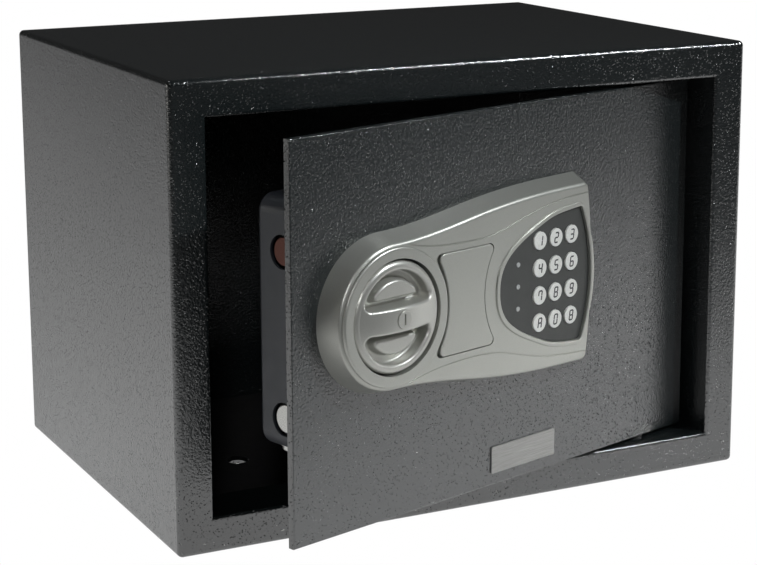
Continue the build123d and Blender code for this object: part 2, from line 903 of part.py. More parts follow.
def make_spindle_bush():
    """Flanged bush that carries the spindle in the door plate."""
    sleeve = rear_rod(knob_u, panel_z, spindle_bush_radius - bush_fit, -door_thickness, base_thickness)
    head = front_rod(knob_u, panel_z, spindle_bush_head_radius, 0, spindle_bush_head)
    bore = rear_rod(knob_u, panel_z, spindle_radius + running_fit,
                    -door_thickness - spindle_bush_head, base_thickness)
    return sleeve + head - bore


# ---------------------------------------------------------------- keypad

def key_places():
    """Name and centre of each key, row by row from the top."""
    rows = (("1", "2", "3"), ("4", "5", "6"), ("7", "8", "9"), ("a", "0", "b"))
    for row, names in enumerate(rows):
        for column, name in enumerate(names):
            u = keys_u + (column - 1) * key_pitch_u
            z = panel_z + (1.5 - row) * key_pitch_z
            yield name, u, z


def lamp_heights():
    """Heights of the three indicator lamps."""
    return [panel_z + step * lamp_pitch for step in (1, 0, -1)]


def make_keypad_plate():
    """Flat plate in the window, with holes for the keys and lamps."""
    plate = front_slab(window_outline(), keypad_back, keypad_face)
    for name, u, z in key_places():
        plate -= front_rod(u, z, key_radius + key_hole_gap, keypad_back, keypad_face)
    for z in lamp_heights():
        plate -= front_rod(lamps_u, z, lamp_radius + lamp_hole_gap, keypad_back, keypad_face)
    return plate


def make_key(u, z):
    """Round key: a cap through the plate and a flange behind it."""
    cap = front_rod(u, z, key_radius, flange_top, key_top)
    cap = fillet(cap.edges().sort_by(Axis.Y)[0], key_edge_round)
    return cap + front_rod(u, z, key_radius + key_flange, flange_bottom, flange_top)


def make_keypad_pad():
    """Rubber contact pad under the keys."""
    return front_slab(window_outline(-plate_gap), pad_bottom, pad_top)


def make_keypad_board():
    """Circuit board under the contact pad."""
    return front_slab(window_outline(-plate_gap), board_bottom, board_top)


def make_indicator_lamps():
    """Three lamps standing on the board, flush with the plate."""
    lamps = []
    for z in lamp_heights():
        lamps.append(front_rod(lamps_u, z, lamp_radius, pad_top, keypad_face + lamp_proud))
    return solids_of(lamps)


# ---------------------------------------------------------------- emergency lock

def make_override_cover():
    """Lift-off cover with two legs that plug into the tray."""
    cover = front_slab(cover_outline(), cover_face - cover_plate_thickness, cover_face)
    cover = fillet(cover.faces().sort_by(Axis.Y)[0].edges(), cover_edge_round)
    for side in (-1, 1):
        z = panel_z + side * cover_leg_spacing / 2
        cover += front_block(lock_u - cover_leg_width / 2, lock_u + cover_leg_width / 2,
                             z - cover_leg_height / 2, z + cover_leg_height / 2,
                             tray_floor + cover_leg_gap, cover_face - cover_plate_thickness)
    return cover


def make_override_body():
    """Lock cylinder: a flange on the tray floor and a barrel through the door."""
    flange_seat = tray_floor + tray_skin
    barrel = front_rod(lock_u, panel_z, lock_body_radius, -door_thickness, flange_seat)
    barrel += rear_rod(lock_u, panel_z, lock_body_radius, 0, lock_rear)
    barrel += front_rod(lock_u, panel_z, lock_flange_radius, flange_seat, flange_seat + lock_flange)
    bore = rear_rod(lock_u, panel_z, plug_radius + running_fit,
                    -door_thickness - flange_seat - lock_flange, lock_rear)
    return barrel - bore


def make_override_nut():
    """Ring nut that clamps the lock cylinder to the door."""
    nut = rear_hex(lock_u, panel_z, lock_nut_radius * math.sqrt(3), 0, lock_nut_height)
    return nut - rear_rod(lock_u, panel_z, lock_body_radius + stud_fit, 0, lock_nut_height)


def make_key_plug():
    """Turning plug with its keyway, the cam plate behind it and the cam's pin."""
    front_w = tray_floor + tray_skin + lock_flange
    plug = rear_rod(lock_u, panel_z, plug_radius, -door_thickness - front_w, key_cam_depth)
    cam_back = key_cam_depth + key_cam_thickness
    plug += rear_rod(lock_u, panel_z, key_cam_radius, key_cam_depth, cam_back)
    pin_u = lock_u + key_pin_orbit * math.cos(math.radians(key_turn / 2))
    pin_back = lifter_depth + lifter_thickness + key_pin_overrun
    plug += rear_rod(pin_u, panel_z - key_pin_low, key_pin_radius, cam_back, pin_back)
    keyway = front_block(lock_u - keyway_width / 2, lock_u + keyway_width / 2,
                         panel_z - keyway_height / 2, panel_z + keyway_height / 2,
                         front_w - keyway_depth, front_w)
    return plug - keyway


# ---------------------------------------------------------------- lock base and bolt work

def make_lock_base():
    """Bent steel plate behind the door: bolt guide flange and a tab for the cover's screw."""
    base = rear_block(base_left, base_right, base_low, base_high, 0, base_thickness)
    base += rear_block(base_left, base_arm_right, base_arm_low, base_high, 0, base_thickness)
    guide = rear_block(base_left, base_left + guide_thickness, base_low, base_high, 0, guide_depth)
    for z in bolt_heights:
        x = plate_left + base_left
        y = plate_back + bolt_depth
        guide -= rod((x, y, z), (x + guide_thickness, y, z), bolt_radius + guide_fit)
    tab_low = housing_low + housing_wall + tab_gap
    side_u, side_d = side_screw_place()
    tab_left = side_u - tab_width / 2
    tab_right = side_u + tab_width / 2
    base += guide
    base += rear_block(tab_left, tab_right, tab_low, tab_low + tab_thickness,
                       0, side_d + side_washer_radius)
    base += rear_block(tab_left, tab_right, tab_low, base_low, 0, base_thickness)
    base -= upright_rod(side_u, side_d, side_screw_radius + stud_fit,
                        tab_low, tab_low + tab_thickness)
    base -= rear_rod(knob_u, panel_z, spindle_bush_radius, 0, base_thickness)
    for u, z in stud_places():
        base -= rear_rod(u, z, stud_radius + stud_hole_gap, 0, base_thickness)
    for u, z in standoff_places()[:2]:
        base -= rear_rod(u, z, standoff_radius + stud_hole_gap, 0, base_thickness)
    for u, z in panel_boss_centres()[:2]:
        base -= rear_rod(u, z, screw_head_radius + stud_hole_gap, 0, base_thickness)
    return base


def upright_rod(u, d, radius, z0, z1):
    """An upright round bar behind the door plate."""
    x = plate_left + u
    y = plate_back + d
    return rod((x, y, z0), (x, y, z1), radius)


def side_screw_place():
    """Where the screw under the lock cover stands, as u and d."""
    return housing_left + housing_corner_radius + side_screw_inset, side_screw_depth


def make_guide_posts():
    """Two headed posts that carry the bolt carriage by its slots."""
    posts = []
    for side in (-1, 1):
        z = bolt_mid + side * post_half_spacing
        top = carriage_back + post_gap
        post = rear_rod(post_u, z, post_radius, base_thickness, top)
        posts.append(post + rear_rod(post_u, z, post_head_radius, top, top + post_head))
    return solids_of(posts)


def stud_places():
    """Places of the lock base's four studs."""
    left, middle, right = stud_columns
    low, high = base_low + stud_inset, base_high - stud_inset
    return ((left, low), (left, high), (middle, low), (right, high))


def standoff_places():
    """Places of the posts that the lock cover is screwed to, clear of its round corners."""
    inset = housing_corner_radius + standoff_radius
    right = housing_right - inset
    low = housing_low + inset
    high = housing_high - inset
    return ((standoff_left, low), (standoff_left, high), (right, low), (right, high))


def make_weld_studs():
    """Studs for the lock base and long posts for the lock cover, welded to the door plate."""
    posts = []
    for u, z in stud_places():
        posts.append(rear_rod(u, z, stud_radius, 0, stud_length))
    post_end = housing_depth - housing_wall
    for u, z in standoff_places():
        post = rear_rod(u, z, standoff_radius, 0, post_end)
        pilot = rear_rod(u, z, cover_screw_radius + stud_fit, post_end - cover_screw_length, post_end)
        posts.append(post - pilot)
    return solids_of(posts)


def make_base_nuts():
    """Four nuts that clamp the lock base to its studs."""
    nuts = []
    for u, z in stud_places():
        top = base_thickness + nut_height
        nut = rear_hex(u, z, nut_across, base_thickness, top)
        nuts.append(nut - rear_rod(u, z, stud_radius + stud_fit, base_thickness, top))
    return solids_of(nuts)


def make_bolt_carriage():
    """Sliding plate that ties both bolts together, driven by the crank pin in its slot."""
    low, high = bolt_heights[1] - tie_overhang, bolt_heights[0] + tie_overhang
    tie_front = bolt_depth - bolt_radius + tie_setback
    carriage = rear_block(tie_u, tie_u + tie_thickness, low, high, tie_front, carriage_back)
    carriage += rear_block(tie_u, carriage_right, bolt_mid - carriage_half_height,
                           bolt_mid + carriage_half_height, carriage_depth, carriage_back)
    carriage += rear_block(tie_u, tail_end, tail_low, tail_high, carriage_depth, carriage_back)
    carriage -= rear_block(crank_u - slot_half_width, crank_u + slot_half_width, slot_low, slot_high,
                           carriage_depth, carriage_back)
    reach = post_radius + post_gap
    for side in (-1, 1):
        z = bolt_mid + side * post_half_spacing
        slot = rear_block(post_u, post_u + bolt_throw, z - reach, z + reach,
                          carriage_depth, carriage_back)
        for u in (post_u, post_u + bolt_throw):
            slot += rear_rod(u, z, reach, carriage_depth, carriage_back)
        carriage -= slot
    for z in bolt_heights:
        x = plate_left + tie_u
        y = plate_back + bolt_depth
        carriage -= rod((x, y, z), (x + tie_thickness, y, z), rivet_radius + stud_fit)
    return carriage


def make_bolt(z):
    """Round bolt, riveted to the carriage's tie bar."""
    y = plate_back + bolt_depth
    tip = plate_left + bolt_tip
    shoulder = plate_left + tie_u
    bolt = rod((tip, y, z), (shoulder, y, z), bolt_radius)
    bolt = fillet(bolt.edges().sort_by(Axis.X)[0], bolt_edge_round)
    tail = shoulder + tie_thickness
    bolt += rod((shoulder, y, z), (tail, y, z), rivet_radius)
    return bolt + rod((tail, y, z), (tail + rivet_head, y, z), rivet_head_radius)


# ---------------------------------------------------------------- solenoid

def make_solenoid_frame():
    """Bent bracket round the coil, on the lock base."""
    left, right = plunger_u - frame_half_width, plunger_u + frame_half_width
    front = base_thickness
    frame = rear_block(left, right, solenoid_low, solenoid_high, front, front + frame_thickness)
    for z0 in (solenoid_low, solenoid_high - frame_thickness):
        frame += rear_block(left, right, z0, z0 + frame_thickness, front, front + frame_depth)
    hole = upright_rod(plunger_u, plunger_depth, plunger_radius + coil_bore_gap,
                       solenoid_low, solenoid_high)
    return frame - hole


def make_solenoid_coil():
    """Wound coil with the plunger's bore through it."""
    z0 = coil_low + frame_fit_gap
    z1 = coil_low + coil_length - frame_fit_gap
    coil = upright_rod(plunger_u, plunger_depth, coil_radius, z0, z1)
    return coil - upright_rod(plunger_u, plunger_depth, plunger_radius + coil_bore_gap, z0, z1)


def make_solenoid_plunger():
    """Steel plunger with a collar for its spring and a flat for the lifter."""
    plunger = upright_rod(plunger_u, plunger_depth, plunger_radius, plunger_tip, plunger_top)
    plunger += upright_rod(plunger_u, plunger_depth, collar_radius, collar_low,
                           collar_low + collar_thickness)
    reach = collar_radius + flat_overrun
    flat = rear_block(plunger_u - reach, plunger_u + reach, lifter_low - flat_gap,
                      lifter_low + lifter_strip + flat_gap, lifter_depth, plunger_depth + reach)
    return plunger - flat


def make_plunger_lifter():
    """Flat arm on the plunger, with a slot round the emergency cam's pin."""
    back = lifter_depth + lifter_thickness
    pin_far = lock_u + key_pin_orbit + key_pin_radius + lifter_slot_gap
    pin_near = lock_u + key_pin_orbit * math.cos(math.radians(key_turn / 2))
    pin_near -= key_pin_radius + lifter_slot_gap
    pin_z = panel_z - key_pin_low
    half = key_pin_radius + lifter_slot_gap
    arm = rear_block(plunger_u - lifter_overlap, pin_far + lifter_head, lifter_low,
                     lifter_low + lifter_strip, lifter_depth, back)
    arm += rear_block(pin_near - lifter_head, pin_far + lifter_head, lifter_low,
                      pin_z + half + lifter_head, lifter_depth, back)
    return arm - rear_block(pin_near, pin_far, pin_z - half, pin_z + half, lifter_depth, back)


def make_solenoid_spring():
    """Coil spring between the plunger's collar and the bracket."""
    bottom = collar_low + collar_thickness + spring_seat_gap + spring_wire_radius
    top = solenoid_low - spring_seat_gap - spring_wire_radius
    height = top - bottom
    path = Helix(height / spring_turns, height, spring_radius)
    section = Plane(origin=path @ 0, z_dir=path % 0) * Circle(spring_wire_radius)
    spring = sweep(section, path=path)
    return Pos(plate_left + plunger_u, plate_back + plunger_depth, bottom) * spring


# ---------------------------------------------------------------- control board and leads

def make_control_board():
    """Circuit board on four spacers behind the door."""
    board = rear_block(board_left, board_right, board_low, board_high, board_stand,
                       board_stand + board_thickness)
    for u, z in spacer_places():
        board -= rear_rod(u, z, panel_screw_radius + stud_fit,
                          board_stand, board_stand + board_thickness)
    return board


def spacer_places():
    """Places of the board's four spacers."""
    us = (board_left + spacer_inset, board_right - spacer_inset)
    zs = (board_low + spacer_inset, board_high - spacer_inset)
    return [(u, z) for u in us for z in zs]


def make_board_spacers():
    """Four spacers with a headed pin through the board."""
    spacers = []
    top = board_stand + board_thickness
    for u, z in spacer_places():
        spacer = rear_rod(u, z, spacer_radius, 0, board_stand)
        spacer += rear_rod(u, z, panel_screw_radius, board_stand, top)
        spacers.append(spacer + rear_rod(u, z, spacer_radius, top, top + spacer_cap))
    return solids_of(spacers)


def on_board(place, size):
    """A box standing on the control board, its middle at a place from the board's corner."""
    u, z = board_left + place[0], board_low + place[1]
    width, tall, high = size
    foot = board_stand + board_thickness
    return rear_block(u - width / 2, u + width / 2, z - tall / 2, z + tall / 2, foot, foot + high)


def make_board_parts():
    """Chip, relay, capacitor, three lead sockets and the reset switch on the board."""
    foot = board_stand + board_thickness
    parts = [on_board(chip_place, chip_size), on_board(relay_place, relay_size)]
    capacitor_u = board_left + capacitor_place[0]
    capacitor_z = board_low + capacitor_place[1]
    parts.append(rear_rod(capacitor_u, capacitor_z, capacitor_radius, foot, foot + capacitor_height))
    for place in socket_places:
        parts.append(on_board((place, board_high - board_low - socket_drop), socket_size))
    parts.append(on_board(switch_place, (switch_size, switch_size, switch_height)))
    return solids_of(parts)


def make_reset_button():
    """Sprung button through the lock cover, over the board's reset switch."""
    switch_top = board_stand + board_thickness + switch_height
    inner_face = housing_depth - housing_wall
    stem = rear_rod(switch_u, switch_z, reset_radius, switch_top + reset_travel + reset_gap,
                    housing_depth + reset_proud)
    stem = fillet(stem.edges().sort_by(Axis.Y)[-1], reset_edge_round)
    collar_top = inner_face - reset_gap
    return stem + rear_rod(switch_u, switch_z, reset_collar_radius, collar_top - reset_collar, collar_top)


def lead(points, bend):
    """Round insulated lead along straight runs joined by arcs, in door places (u, z, d)."""
    route = [(plate_left + u, plate_back + d, z) for u, z, d in points]
    path = FilletPolyline(*route, radius=bend)
    section = Plane(origin=path @ 0, z_dir=path % 0) * Circle(lead_radius)
    return sweep(section, path=path)


def socket_top():
    """Depth of the top of a lead socket, with the lead's end just clear of it."""
    return board_stand + board_thickness + socket_size[2] + lead_end_gap


def make_keypad_lead():
    """Lead from the keypad's board, through the door plate, to the middle socket."""
    start = -door_thickness - board_bottom + lead_end_gap
    u = board_left + socket_places[1]
    z = board_high - socket_drop
    over = socket_top() + lead_rise
    points = [(u, panel_z, start), (u, panel_z, over), (u, z, over), (u, z, socket_top())]
    return lead(points, (lead_bend, lead_end_bend))


def make_power_leads():
    """Leads from the solenoid's coil and from the battery tray to their sockets."""
    z = board_high - socket_drop
    over = socket_top() + lead_rise
    coil_side = plunger_u + coil_radius + lead_end_gap
    coil_z = coil_low + coil_length / 2
    coil_socket = board_left + socket_places[0]
    tray_socket = board_left + socket_places[2]
    tray_z = z + tray_lead_rise
    coil_lead = lead([(coil_side, coil_z, plunger_depth), (coil_socket, coil_z, plunger_depth),
                      (coil_socket, z, over), (coil_socket, z, socket_top())],
                     (lead_bend, lead_end_bend))
    tray_lead = lead([(tray_left - lead_end_gap, tray_z, over), (tray_socket, tray_z, over),
                      (tray_socket, z, over), (tray_socket, z, socket_top())],
                     (lead_end_bend, lead_end_bend))
    return solids_of([coil_lead, tray_lead])


# ---------------------------------------------------------------- batteries and lock cover

def battery_places():
    """Middle of each battery cell across the tray, with the way it points."""
    first = tray_mid_u - (battery_count - 1) * battery_pitch / 2
    return [(first + index * battery_pitch, 1 - 2 * (index % 2)) for index in range(battery_count)]


def make_battery_tray():
    """Open tray on four feet, holding the cells side by side."""
    right, high = tray_left + tray_width, tray_low + tray_length
    tray = rear_block(tray_left, right, tray_low, high, tray_depth_from, tray_depth_to)
    tray -= rear_block(tray_left + tray_wall, right - tray_wall, tray_low + tray_wall,
                       high - tray_wall, tray_depth_from + tray_wall, tray_depth_to)
    for u in (tray_left + tray_foot_inset, right - tray_foot_inset):
        for z in (tray_low + tray_foot_inset, high - tray_foot_inset):
            tray += rear_rod(u, z, tray_foot_radius, 0, tray_depth_from)
    return tray


def make_batteries():
    """Round cells with a nub at the positive end, laid head to tail."""
    cells = []
    for u, way in battery_places():
        low = tray_mid_z - (battery_length + battery_nub) / 2
        high = low + battery_length + battery_nub
        can_low = low if way > 0 else low + battery_nub
        can_high = high - battery_nub if way > 0 else high
        cell = upright_rod(u, battery_depth, battery_radius, can_low, can_high)
        cell = chamfer(cell.edges().filter_by(GeomType.CIRCLE), battery_chamfer)
        cells.append(cell + upright_rod(u, battery_depth, battery_nub_radius, low, high))
    return solids_of(cells)


def make_battery_contacts():
    """Spring plates at both ends of each cell."""
    contacts = []
    inner_low = tray_low + tray_wall
    inner_high = tray_low + tray_length - tray_wall
    for u, _ in battery_places():
        low = inner_low + contact_room - contact_thickness - contact_clearance
        for z in (low, inner_high - contact_room + contact_clearance):
            contacts.append(rear_block(u - contact_half, u + contact_half, z, z + contact_thickness,
                                       battery_depth - contact_half, battery_depth + contact_half))
    return solids_of(contacts)


def lid_bounds(grow=0.0):
    """Left, right, low and high of the battery lid."""
    return (tray_left + lid_margin - grow, tray_left + tray_width - lid_margin + grow,
            tray_low + lid_margin - grow, tray_low + tray_length - lid_margin + grow)


def make_lock_cover():
    """Deep moulded cover over the lock, with bolt holes, battery door and reset hole."""
    cover = rear_block(housing_left, housing_right, housing_low, housing_high, 0, housing_depth)
    cover = fillet(cover.edges().filter_by(Axis.Y), housing_corner_radius)
    cover = fillet(cover.faces().sort_by(Axis.Y)[-1].edges(), housing_back_radius)
    inner = rear_block(housing_left + housing_wall, housing_right - housing_wall,
                       housing_low + housing_wall, housing_high - housing_wall,
                       0, housing_depth - housing_wall)
    inner = fillet(inner.edges().filter_by(Axis.Y), housing_corner_radius - housing_wall)
    inner = fillet(inner.faces().sort_by(Axis.Y)[-1].edges(), housing_back_radius - housing_wall)
    cover -= inner
    for z in bolt_heights:
        x = plate_left + housing_left
        y = plate_back + bolt_depth
        cover -= rod((x, y, z), (x + housing_corner_radius, y, z), bolt_radius + bolt_hole_gap)
    left, right, low, high = lid_bounds(lid_gap)
    cover -= rear_block(left, right, low, high, housing_depth - housing_wall, housing_depth)
    cover -= rear_rod(switch_u, switch_z, reset_radius + reset_hole_gap,
                      housing_depth - housing_wall, housing_depth)
    for u, z in standoff_places():
        cover -= rear_rod(u, z, cover_screw_radius + lock_hole_gap,
                          housing_depth - housing_wall, housing_depth)
    side_u, side_d = side_screw_place()
    cover -= upright_rod(side_u, side_d, side_screw_radius + lock_hole_gap,
                         housing_low, housing_low + housing_wall)
    return cover


def make_battery_lid():
    """Lift-off lid over the battery tray, with grip ribs."""
    left, right, low, high = lid_bounds()
    face = housing_depth
    lid = rear_block(left, right, low, high, face - lid_thickness, face)
    lid = fillet(lid.edges().filter_by(Axis.Y), lid_corner_radius)
    middle = (left + right) / 2
    for index in range(lid_rib_count):
        z = high - lid_rib_drop - index * lid_rib_pitch
        lid += rear_block(middle - lid_rib_half_length, middle + lid_rib_half_length,
                          z - lid_rib_half_width, z + lid_rib_half_width, face, face + lid_rib)
    return lid


def make_cover_screws():
    """Four screws in the cover's back and one under it, with its washer."""
    screws = []
    seat = housing_depth
    for u, z in standoff_places():
        end = seat - housing_wall - cover_screw_length + pilot_spare
        shank = rear_rod(u, z, cover_screw_radius, end, seat)
        top = seat + cover_screw_head
        head = rear_rod(u, z, cover_screw_head_radius, seat, top)
        head = fillet(head.edges().sort_by(Axis.Y)[-1], cover_screw_round)
        cross = rear_block(u - cross_reach, u + cross_reach, z - cross_half, z + cross_half,
                           top - cross_depth, top)
        cross += rear_block(u - cross_half, u + cross_half, z - cross_reach, z + cross_reach,
                            top - cross_depth, top)
        screws.append(shank + head - cross)
    side_u, side_d = side_screw_place()
    washer_low = housing_low - side_washer
    head_low = washer_low - side_screw_head
    side = upright_rod(side_u, side_d, side_screw_radius, housing_low, housing_low + side_screw_length)
    side += upright_rod(side_u, side_d, side_washer_radius, washer_low, housing_low)
    cap = upright_rod(side_u, side_d, side_screw_head_radius, head_low, washer_low)
    cap = fillet(cap.edges().sort_by(Axis.Z)[0], side_screw_round)
    screws.append(side + cap)
    return solids_of(screws)


def make_badge_plate():
    """Bare name plate glued to the door."""
    outline = Pos(badge_offset, badge_height) * RectangleRounded(badge_width, badge_tall,
                                                                 badge_corner_radius)
    return front_slab(outline, 0, badge_thickness)


# ---------------------------------------------------------------- output

write("body_shell", make_body_shell(), on_door=False)
write("front_frame", make_front_frame(), on_door=False)
write("back_panel", make_back_panel(), on_door=False)
write("floor_mat", make_floor_mat(), on_door=False)
write("hinge_bushes", make_hinge_bushes(), on_door=False)

for node_name, maker in (
    ("door_plate", make_door_plate),
    ("hinge_knuckles", make_hinge_knuckles),
    ("hinge_pins", make_hinge_pins),
    ("panel_housing", make_panel_housing),
    ("panel_screws", make_panel_screws),
    ("knob", make_knob),
    ("knob_cap", make_knob_cap),
    ("knob_spindle", make_knob_spindle),
    ("spindle_bush", make_spindle_bush),
    ("keypad_plate", make_keypad_plate),
    ("keypad_pad", make_keypad_pad),
    ("keypad_board", make_keypad_board),
    ("indicator_lamps", make_indicator_lamps),
    ("override_cover", make_override_cover),
    ("override_body", make_override_body),
    ("override_nut", make_override_nut),
    ("key_plug", make_key_plug),
    ("lock_base", make_lock_base),
    ("guide_posts", make_guide_posts),
    ("weld_studs", make_weld_studs),
    ("base_nuts", make_base_nuts),
    ("bolt_carriage", make_bolt_carriage),
    ("solenoid_frame", make_solenoid_frame),
    ("solenoid_coil", make_solenoid_coil),
    ("solenoid_plunger", make_solenoid_plunger),
    ("plunger_lifter", make_plunger_lifter),
    ("solenoid_spring", make_solenoid_spring),
    ("control_board", make_control_board),
    ("board_spacers", make_board_spacers),
    ("board_parts", make_board_parts),
    ("reset_button", make_reset_button),
    ("keypad_lead", make_keypad_lead),
    ("power_leads", make_power_leads),
    ("battery_tray", make_battery_tray),
    ("batteries", make_batteries),
    ("battery_contacts", make_battery_contacts),
    ("battery_lid", make_battery_lid),
    ("lock_cover", make_lock_cover),
    ("cover_screws", make_cover_screws),
    ("badge_plate", make_badge_plate),
):
    write(node_name, maker())

for bolt_name, bolt_z in zip(("bolt_upper", "bolt_lower"), bolt_heights):
    write(bolt_name, make_bolt(bolt_z))

for key_name, key_u, key_z in key_places():
    write("key_" + key_name, make_key(key_u, key_z))
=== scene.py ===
"""Electronic safe with its door ajar: finishes, key numbers, felt, spring and stage.

Every length is in metres.  The object stands on z = 0, its front faces -Y and its door is
hinged on the right.  On the door, ACROSS runs from its free edge towards the hinge, UP is
the height and OUT points away from its front.
"""

import json
import math

import bpy
from bpy.props import FloatProperty, FloatVectorProperty, IntProperty, PointerProperty
from mathutils import Matrix, Vector


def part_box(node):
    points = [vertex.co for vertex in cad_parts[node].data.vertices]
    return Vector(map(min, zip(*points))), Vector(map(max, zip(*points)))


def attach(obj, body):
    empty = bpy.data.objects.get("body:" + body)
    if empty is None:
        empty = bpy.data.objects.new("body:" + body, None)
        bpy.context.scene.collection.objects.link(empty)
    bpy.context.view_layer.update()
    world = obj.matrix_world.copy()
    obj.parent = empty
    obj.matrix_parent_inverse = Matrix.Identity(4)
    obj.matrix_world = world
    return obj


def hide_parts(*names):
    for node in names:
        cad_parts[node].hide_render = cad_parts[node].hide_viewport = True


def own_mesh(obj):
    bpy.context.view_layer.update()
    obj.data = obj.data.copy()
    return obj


bl_info = {
    "name": "Electronic safe",
    "version": (1, 0, 0),
    "blender": (4, 5, 0),
    "location": "View3D > Sidebar > Safe",
    "description": "Finishes, key numbers, floor felt and stage of a small electronic safe",
    "category": "Object",
}

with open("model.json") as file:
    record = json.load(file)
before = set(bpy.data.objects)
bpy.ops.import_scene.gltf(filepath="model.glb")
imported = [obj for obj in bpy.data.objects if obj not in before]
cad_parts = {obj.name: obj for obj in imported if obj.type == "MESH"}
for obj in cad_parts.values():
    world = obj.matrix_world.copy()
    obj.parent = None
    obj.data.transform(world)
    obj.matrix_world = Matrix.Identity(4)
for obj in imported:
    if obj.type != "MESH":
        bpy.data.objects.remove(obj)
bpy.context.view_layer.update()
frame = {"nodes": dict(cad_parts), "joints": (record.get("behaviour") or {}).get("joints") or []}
NODES = frame["nodes"]
JOINTS = {joint["name"]: joint for joint in frame["joints"]}
UP = Vector((0, 0, 1))
OUT = Vector(JOINTS["knob_turn"]["axis"]).normalized()
ACROSS = UP.cross(OUT)

# Colours of the small parts.
ZINC = (0.50, 0.50, 0.48)
# Painted shade with a painted reddish reflection: the upper bolt is zinc like the lower one, but is
# coloured dark red-brown here.
UPPER_BOLT_PAINTED_SHADE = (0.11, 0.05, 0.04)
TURNED_STEEL = (0.48, 0.48, 0.47)
LOCK_BRASS = (0.62, 0.46, 0.18)
NICKEL = (0.62, 0.60, 0.55)
BLACK_NYLON = (0.016, 0.016, 0.017)
CONTACT_RUBBER = (0.30, 0.30, 0.30)
BLACK_MOULDING = (0.018, 0.018, 0.019)
LEAD_BLACK = (0.022, 0.022, 0.024)
RESET_RED = (0.42, 0.015, 0.012)

# How much finer a metal's grain is along X, Y and Z.
TURNED_ABOUT_X = (6, 1, 1)
TURNED_ABOUT_Y = (1, 8, 1)
ROLLED_LEVEL = (1, 1, 5)
BRUSHED_LEVEL = (0.04, 0.04, 1.6)
EVEN = (1, 1, 1)

# The two ways in which the fibres of the felt lie.
FIBRE_WAYS = ((1, 0.35, 1), (0.35, 1, 1))

# Grain of the powder coat, as shares of the space between its pits.
WRINKLE_SHARE = 0.8
PATCH_SHARE = 3

# Battery wrap: where its light band starts, as a share of the height, and how soft its edge is.
BAND_START = 0.72
BAND_EDGE = 0.0004

# Nap of the felt: a long wave and a ripple, in radians per metre, and their height in naps.
WAVE_ALONG = 310
WAVE_ACROSS = 270
WAVE_START = 1.3
RIPPLE_ALONG = 730
RIPPLE_ACROSS = 560
RIPPLE_SHARE = 0.5
WAVE_SHARE = 0.6

# Where the stage's fades start and end: along X in metres, then by the height and the depth of
# the direction looked in.
TURN_FADE = (0.1, 0.4)
NEAR_LEFT_FADE = (-0.2, 0.3)
SOFT_FADE = (0.05, 0.55)
HORIZON_FADE = (-0.08, 0.0)
BEHIND_FADE = (-0.25, 0.25)


def colour(name, description, default):
    """A colour setting."""
    return FloatVectorProperty(name=name, description=description, default=default,
                               subtype="COLOR", size=3, min=0, max=1)


def length(name, description, default):
    """A length setting in metres."""
    return FloatProperty(name=name, description=description, default=default,
                         unit="LENGTH", subtype="DISTANCE", min=0, precision=5)


def share(name, description, default):
    """A setting between none and all."""
    return FloatProperty(name=name, description=description, default=default, min=0, max=1)


def angle(name, description, degrees):
    """An angle setting."""
    return FloatProperty(name=name, description=description, default=math.radians(degrees),
                         unit="ROTATION", subtype="ANGLE")


class SafeFinishSettings(bpy.types.PropertyGroup):
    """Colours and grain of the carried-over metal and plastic parts."""

    # Painted shade: the coat's pits take the darker Powder coat colour, and the rest of the coat
    # takes the lighter peaks colour.
    coat: colour("Powder coat", "Colour of the textured coat", (0.006, 0.009, 0.010))
    coat_outside_pit_shade: colour("Coat peaks", "Colour of the tops of the coat's grain", (0.012, 0.016, 0.017))
    coat_index: FloatProperty(name="Coat index", description="Refractive index of the glossy coat",
                              default=1.68, min=1, max=3)
    coat_grain: length("Coat grain", "Space from one pit of the coat to the next", 0.0016)
    coat_relief: length("Coat relief", "Depth of the pits", 0.0005)
    coat_swell: length("Coat swell", "Height of the soft wrinkles", 0.00025)
    panel: colour("Panel silver", "Colour of the panel's satin paint", (0.42, 0.425, 0.395))
    knob: colour("Knob silver", "Colour of the knob's satin paint", (0.46, 0.46, 0.432))
    keypad: colour("Keypad grey", "Colour of the keypad plate", (0.050, 0.052, 0.050))
    key: colour("Key white", "Colour of the keys", (0.80, 0.80, 0.77))
    slate: colour("Cover slate", "Colour of the lock cover", (0.026, 0.030, 0.038))
    ink: colour("Number ink", "Colour of the key numbers", (0.018, 0.018, 0.02))


class SafeLabelSettings(bpy.types.PropertyGroup):
    """Size of the numbers on the keys."""

    tall: length("Height", "Height of a number", 0.0060)
    wide: length("Width", "Width of a number", 0.0032)
    stroke: length("Stroke", "Width of a stroke", 0.00078)
    gap: length("Gap", "Space left between two strokes", 0.0001)
    raised: length("Thickness", "Thickness of the ink", 0.00005)
    rounding: share("Rounding", "Rounding of a stroke's corners, as a share of its width", 0.42)
    slant: angle("Slant", "How far the numbers lean to the right", 8)


class SafeMatSettings(bpy.types.PropertyGroup):
    """Shape of the floor felt."""

    cells: IntProperty(name="Cells", description="Grid cells along the mat", default=84, min=4)
    hole: length("Hole radius", "Radius of the holes over the anchors", 0.0068)
    anchors: length("Anchor spacing", "Distance between the middles of the two anchors", 0.18)
    cutter: length("Cutter", "Length of the tool that cuts the holes", 0.02)
    nap: length("Nap", "Unevenness of the felt's surface", 0.00025)
    crease: angle("Crease", "Edges sharper than this stay sharp", 35)


class SafeSpringSettings(bpy.types.PropertyGroup):
    """How the return spring's mesh is closed and smoothed."""

    merge: length("Merge", "Points nearer than this become one", 0.00001)
    crease: angle("Crease", "Edges sharper than this stay sharp", 40)


